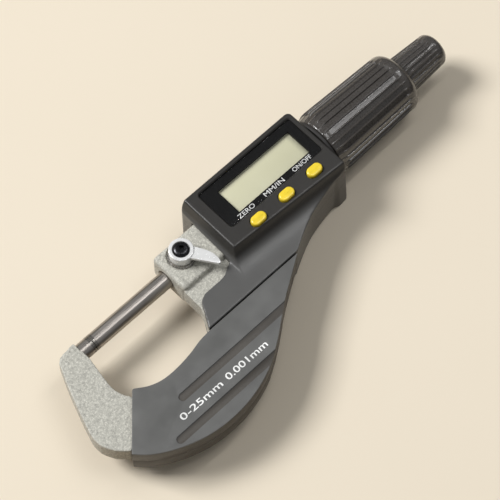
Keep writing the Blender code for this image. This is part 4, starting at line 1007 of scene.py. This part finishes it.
def make_collar():
    low, high, radius = COLLAR_LOW.x, COLLAR_HIGH.x - GRIP_FORWARD, COLLAR_HIGH.y
    profile = bead(high - 0.2, radius - 0.2, 0.2, 0, 90) + bead(low + 0.2, radius - 0.2, 0.2, 90, 180)
    profile += [(low, SLEEVE_R + GAP), (high, SLEEVE_R + GAP)]
    collar = turned("collar_ring", profile)
    place(collar, "frame", MATERIALS["collar"], "grip", "sleeve_collar")


def flute_shape(share, land, shoulder):
    """Depth from 0 to 1 across one flute: a narrow ridge, its shoulder and the floor."""
    near = min(share, 1.0 - share)
    rise = max(0.0, min(1.0, (near - land) / shoulder))
    return rise * rise * (3 - 2 * rise)


def fluted_ring(along, radius, depth, flutes, land, shoulder, points=20):
    """A section of a grip: ridges with flat floors between them, sunk by depth at their sides."""
    ring = []
    for i in range(flutes * points):
        share = (i % points) / points
        angle = 2 * math.pi * (i / points + 0.13) / flutes
        flat = radius * (1.0 - math.cos(math.pi / flutes) / math.cos(math.pi * (2 * share - 1) / flutes))
        sink = depth + FLOOR_FLAT * flat * min(1.0, depth / 0.3)
        r = radius - sink * flute_shape(share, land, shoulder)
        ring.append((along, r * math.cos(angle), r * math.sin(angle)))
    return ring


def ease(value):
    value = max(0.0, min(1.0, value))
    return value * value * (3 - 2 * value)


def make_thimble():
    start, end = GRIP_LOW.x - GRIP_FORWARD, GRIP_HIGH.x
    shoulder = 0.12
    stations = []
    for x, r in bead(start + 0.9, GRIP_R - 1.75, 0.9, 180, 95, 6):
        stations.append((x, r, shoulder))
    first, last = start + 1.2, end - 4.4
    count = 44
    for i in range(count + 1):
        share = i / count
        x = first + (last - first) * share
        r = GRIP_R + (GRIP_END_R - GRIP_R) * share
        r -= 0.85 * (1 - ease((x - first) / 3.2))
        full = shoulder + (FLUTE_DEPTH - shoulder) * ease((x - start - 2.6) / 1.4)
        stations.append((x, r, full * ease((last - x) / 0.9)))
    for x, r in bead(end - 3.0, GRIP_END_R - 2.9, 2.9, 84, 8, 10):
        stations.append((x, r, 0.0))
    hole = 2.5
    stations += [(end, GRIP_END_R - 3.2, 0.0), (end, hole, 0.0), (end - 1.7, hole, 0.0),
                 (end - 1.7, TUBE_R + GAP, 0.0), (start, TUBE_R + GAP, 0.0)]
    rings = [fluted_ring(x, r, d, FLUTES, 0.06, 0.10) for x, r, d in stations]
    grip = loft("thimble_sleeve", rings)
    place(grip, "spindle", MATERIALS["grip"], "grip", "thimble_grip", sharp=50)


def make_knob():
    start, end = KNOB_LOW.x, KNOB_HIGH.x
    head_r = 3.6
    web, web_end = start + 9.4, start + 11.6
    bore = 1.8
    stations = [(start, KNOB_R - 0.7, 0.0), (start + 0.15, KNOB_R - 0.35, 0.0)]
    first, last = start + 0.5, end - 3.9
    count = 14
    for i in range(count + 1):
        share = i / count
        x = first + (last - first) * share
        r = KNOB_R + (KNOB_END_R - KNOB_R) * share
        depth = KNOB_FLUTE_DEPTH * min(ease((x - first) / 0.5), ease((last - x) / 1.2))
        stations.append((x, r, depth))
    for x, r in bead(end - 2.7, KNOB_END_R - 2.65, 2.65, 82, 2, 9):
        stations.append((x, r, 0.0))
    stations += [(end, head_r + GAP, 0.0), (web_end, head_r + GAP, 0.0), (web_end, bore, 0.0),
                 (web, bore, 0.0), (web, TOOTH_TIP_R - GAP, 0.0), (start, TOOTH_TIP_R - GAP, 0.0)]
    rings = [fluted_ring(x, r, d, KNOB_FLUTES, 0.10, 0.20) for x, r, d in stations]
    knob = loft("ratchet_cap", rings)
    tooth = []
    for i in range(TEETH):
        for share, radius in ((0.0, TOOTH_TIP_R), (0.75, TOOTH_ROOT_R)):
            angle = 2 * math.pi * (i + share) / TEETH
            tooth.append((radius * math.cos(angle), radius * math.sin(angle)))
    cut(knob, prism("tooth_room", tooth, start - 1, web - 0.2, along_x=True))
    place(knob, "knob", MATERIALS["grip"], "grip", "ratchet_knob", sharp=50)


# Spindle lock.

def make_lock():
    low = BOSS_TOP + GAP
    washer = turned("washer_ring",
                    [(BOSS_TOP + 0.2, LOCK_SHANK_R + 0.6)]
                    + [(BOSS_TOP + 0.2, LOCK_HUB_R + 0.45), (BOSS_TOP + 0.05, LOCK_HUB_R + 0.6)]
                    + [(BOSS_TOP - LOCK_SEAT_SINK + SEAT, LOCK_HUB_R + 0.6),
                       (BOSS_TOP - LOCK_SEAT_SINK + SEAT, LOCK_SHANK_R + 0.6)],
                    at=LOCK, about_x=False)
    place(washer, "frame", MATERIALS["turned_steel"], "steel", "lock_washer")
    seat_r = LOCK_HEAD_R + GAP / 2
    hub = turned("lever_hub",
                 [(LOCK_TOP - 1.1, seat_r), (LOCK_TOP - 0.15, seat_r), (LOCK_TOP, seat_r + 0.15)]
                 + bead(LOCK_TOP - 0.35, LOCK_HUB_R - 0.35, 0.35, 0, 90, 4)
                 + [(low + 0.9, LOCK_HUB_R), (low, LOCK_HUB_R - 0.7), (low, LOCK_SHANK_R + GAP),
                    (LOCK_TOP - 1.1, LOCK_SHANK_R + GAP)], at=LOCK, about_x=False, steps=72)
    join(hub, make_blade())
    place(hub, "lock", MATERIALS["chrome"], "chrome", "lock_lever", sharp=30)
    make_lock_screw()


def make_blade():
    """The lever's thin blade, broad at the hub, its upper edge straight and then convex to the point."""
    reach = Vector((math.cos(LEVER_ANGLE), math.sin(LEVER_ANGLE)))
    side = Vector((-reach.y, reach.x))
    root = LOCK_HUB_R - 0.9
    straight = [(root, -2.2), (LEVER_REACH - 0.7, -1.3), (LEVER_REACH - 0.1, -0.8)]
    curved = smooth([(LEVER_REACH - 0.15, -0.3), (LEVER_REACH - 1.7, 1.0), (LEVER_REACH - 4.2, 2.1),
                     (root + 3.4, 2.5), (root, 2.5)])
    outline = [tuple(LOCK + reach * u + side * v) for u, v in straight + curved]
    blade = prism("blade", outline, LOCK_TOP - LEVER_T, LOCK_TOP - 0.25)
    round_edges(blade, 0.25, 3, 40)
    line = turned("hub_line", [(LOCK_TOP - 0.7, LOCK_HUB_R), (LOCK_TOP - 0.7, LOCK_HUB_R + 0.28),
                               (LOCK_TOP + 1, LOCK_HUB_R + 0.28), (LOCK_TOP + 1, LOCK_HUB_R)],
                  at=LOCK, about_x=False, steps=72)
    return cut(blade, line)


def make_lock_screw():
    seat = LOCK_TOP - 1.1 + SEAT
    top = LOCK_TOP + 0.7
    dome = [(top, LOCK_HEAD_R - 1.3), (top - 0.06, LOCK_HEAD_R - 0.95), (top - 0.2, LOCK_HEAD_R - 0.55),
            (top - 0.45, LOCK_HEAD_R - 0.2), (top - 0.8, LOCK_HEAD_R)]
    screw = turned("lock_bolt", [(top, 0)] + dome
                   + [(seat, LOCK_HEAD_R), (seat, LOCK_SHANK_R), (SPINDLE_R + 1.9, LOCK_SHANK_R),
                      (SPINDLE_R + 1.9, 0)], at=LOCK, about_x=False, steps=72)
    hexagon = arc(LOCK, 1.45, 10, 310, 5)
    cut(screw, prism("socket", hexagon, LOCK_TOP - 0.7, LOCK_TOP + 2))
    place(screw, "lock", MATERIALS["blackened"], "blackened", "lock_screw", sharp=30)


# Carried-over CAD nodes get a finished material.

CARRIED = {
    "steel": ("spindle", "threaded_sleeve", "adjusting_nut", "rotor_key", "thimble_tube",
              "ratchet_hub", "ratchet_pawl", "ratchet_spring"),
    "turned_steel": ("battery",),
    "blackened": ("ratchet_screw", "back_screw_1", "back_screw_2", "back_screw_3", "cover_screw_1",
                  "cover_screw_2"),
    "brass": ("rotor_hub", "rotor_keeper", "lock_pin", "contact_minus", "contact_plus"),
    "board": ("circuit_board", "encoder_stator", "encoder_rotor"),
    "rubber": ("button_pad",),
    "housing": ("battery_cover",),
}


def finish_carried():
    for look, names in CARRIED.items():
        for name in names:
            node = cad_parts[name]
            node.data.materials.clear()
            node.data.materials.append(MATERIALS[look])


# Floor, light and camera.

def make_floor():
    surface = Surface("floor_paper", roughness=0.9)
    path = surface.nodes.new("ShaderNodeLightPath")
    seen = surface.math("MAXIMUM", path.outputs["Is Camera Ray"], path.outputs["Is Glossy Ray"])
    seen = surface.math("MAXIMUM", seen, path.outputs["Is Transmission Ray"])
    pale = surface.mix(surface.noise(120.0, 2.0), (0.79, 0.70, 0.56), (0.82, 0.73, 0.59))
    surface.paint(surface.mix(seen, (0.42, 0.31, 0.19), pale))
    mesh = bpy.data.meshes.new("floor")
    form = bmesh.new()
    bmesh.ops.create_grid(form, x_segments=1, y_segments=1, size=3.0)
    form.to_mesh(mesh)
    form.free()
    mesh.materials.append(surface.material)
    floor = new_piece("floor", mesh)
    floor.location.z = -0.0002


def lamp(name, at, aim, across, along, power):
    """A soft lamp: along is its side that leans towards the aim, across the level one."""
    light = bpy.data.lights.new(name, "AREA")
    light.energy = power
    light.shape = "RECTANGLE"
    light.size = across
    light.size_y = along
    thing = bpy.data.objects.new(name, light)
    thing.location = at
    thing.rotation_mode = "QUATERNION"
    thing.rotation_quaternion = (Vector(at) - Vector(aim)).to_track_quat("Z", "Y")
    bpy.context.scene.collection.objects.link(thing)


def make_light():
    world = bpy.data.worlds.new("studio")
    world.use_nodes = True
    nodes, links = world.node_tree.nodes, world.node_tree.links
    sky = nodes["Background"]
    where = nodes.new("ShaderNodeTexCoord")
    split = nodes.new("ShaderNodeSeparateXYZ")
    ramp = nodes.new("ShaderNodeValToRGB")
    while len(ramp.color_ramp.elements) < len(SKY_LEVELS):
        ramp.color_ramp.elements.new(0.5)
    for element, (position, level) in zip(ramp.color_ramp.elements, SKY_LEVELS):
        element.position = position
        element.color = (0.96 * level, 0.98 * level, level, 1.0)
    links.new(where.outputs["Generated"], split.inputs["Vector"])
    links.new(split.outputs["Z"], ramp.inputs["Fac"])
    links.new(ramp.outputs["Color"], sky.inputs["Color"])
    bpy.context.scene.world = world
    for name, settings in LAMPS.items():
        lamp(name, *settings)


def make_camera():
    data = bpy.data.cameras.new("camera")
    data.sensor_width = 36.0
    data.lens = LENS
    camera = bpy.data.objects.new("camera", data)
    back = Vector((math.sin(VIEW_AZIMUTH) * math.cos(VIEW_ELEVATION),
                   -math.cos(VIEW_AZIMUTH) * math.cos(VIEW_ELEVATION), math.sin(VIEW_ELEVATION)))
    camera.location = CAMERA_AT
    camera.rotation_mode = "QUATERNION"
    camera.rotation_quaternion = (-back).to_track_quat("-Z", "Y")
    bpy.context.scene.collection.objects.link(camera)
    bpy.context.scene.camera = camera
    bpy.context.scene.view_settings.view_transform = "Standard"


make_casting()
make_bow_cover("front_bow_cover", 1)
make_bow_cover("rear_bow_cover", -1)
make_front_housing()
make_rear_housing()
make_display()
make_labels()
make_buttons()
make_train()
make_collar()
make_thimble()
make_knob()
make_lock()
finish_carried()
make_floor()
make_light()
make_camera()
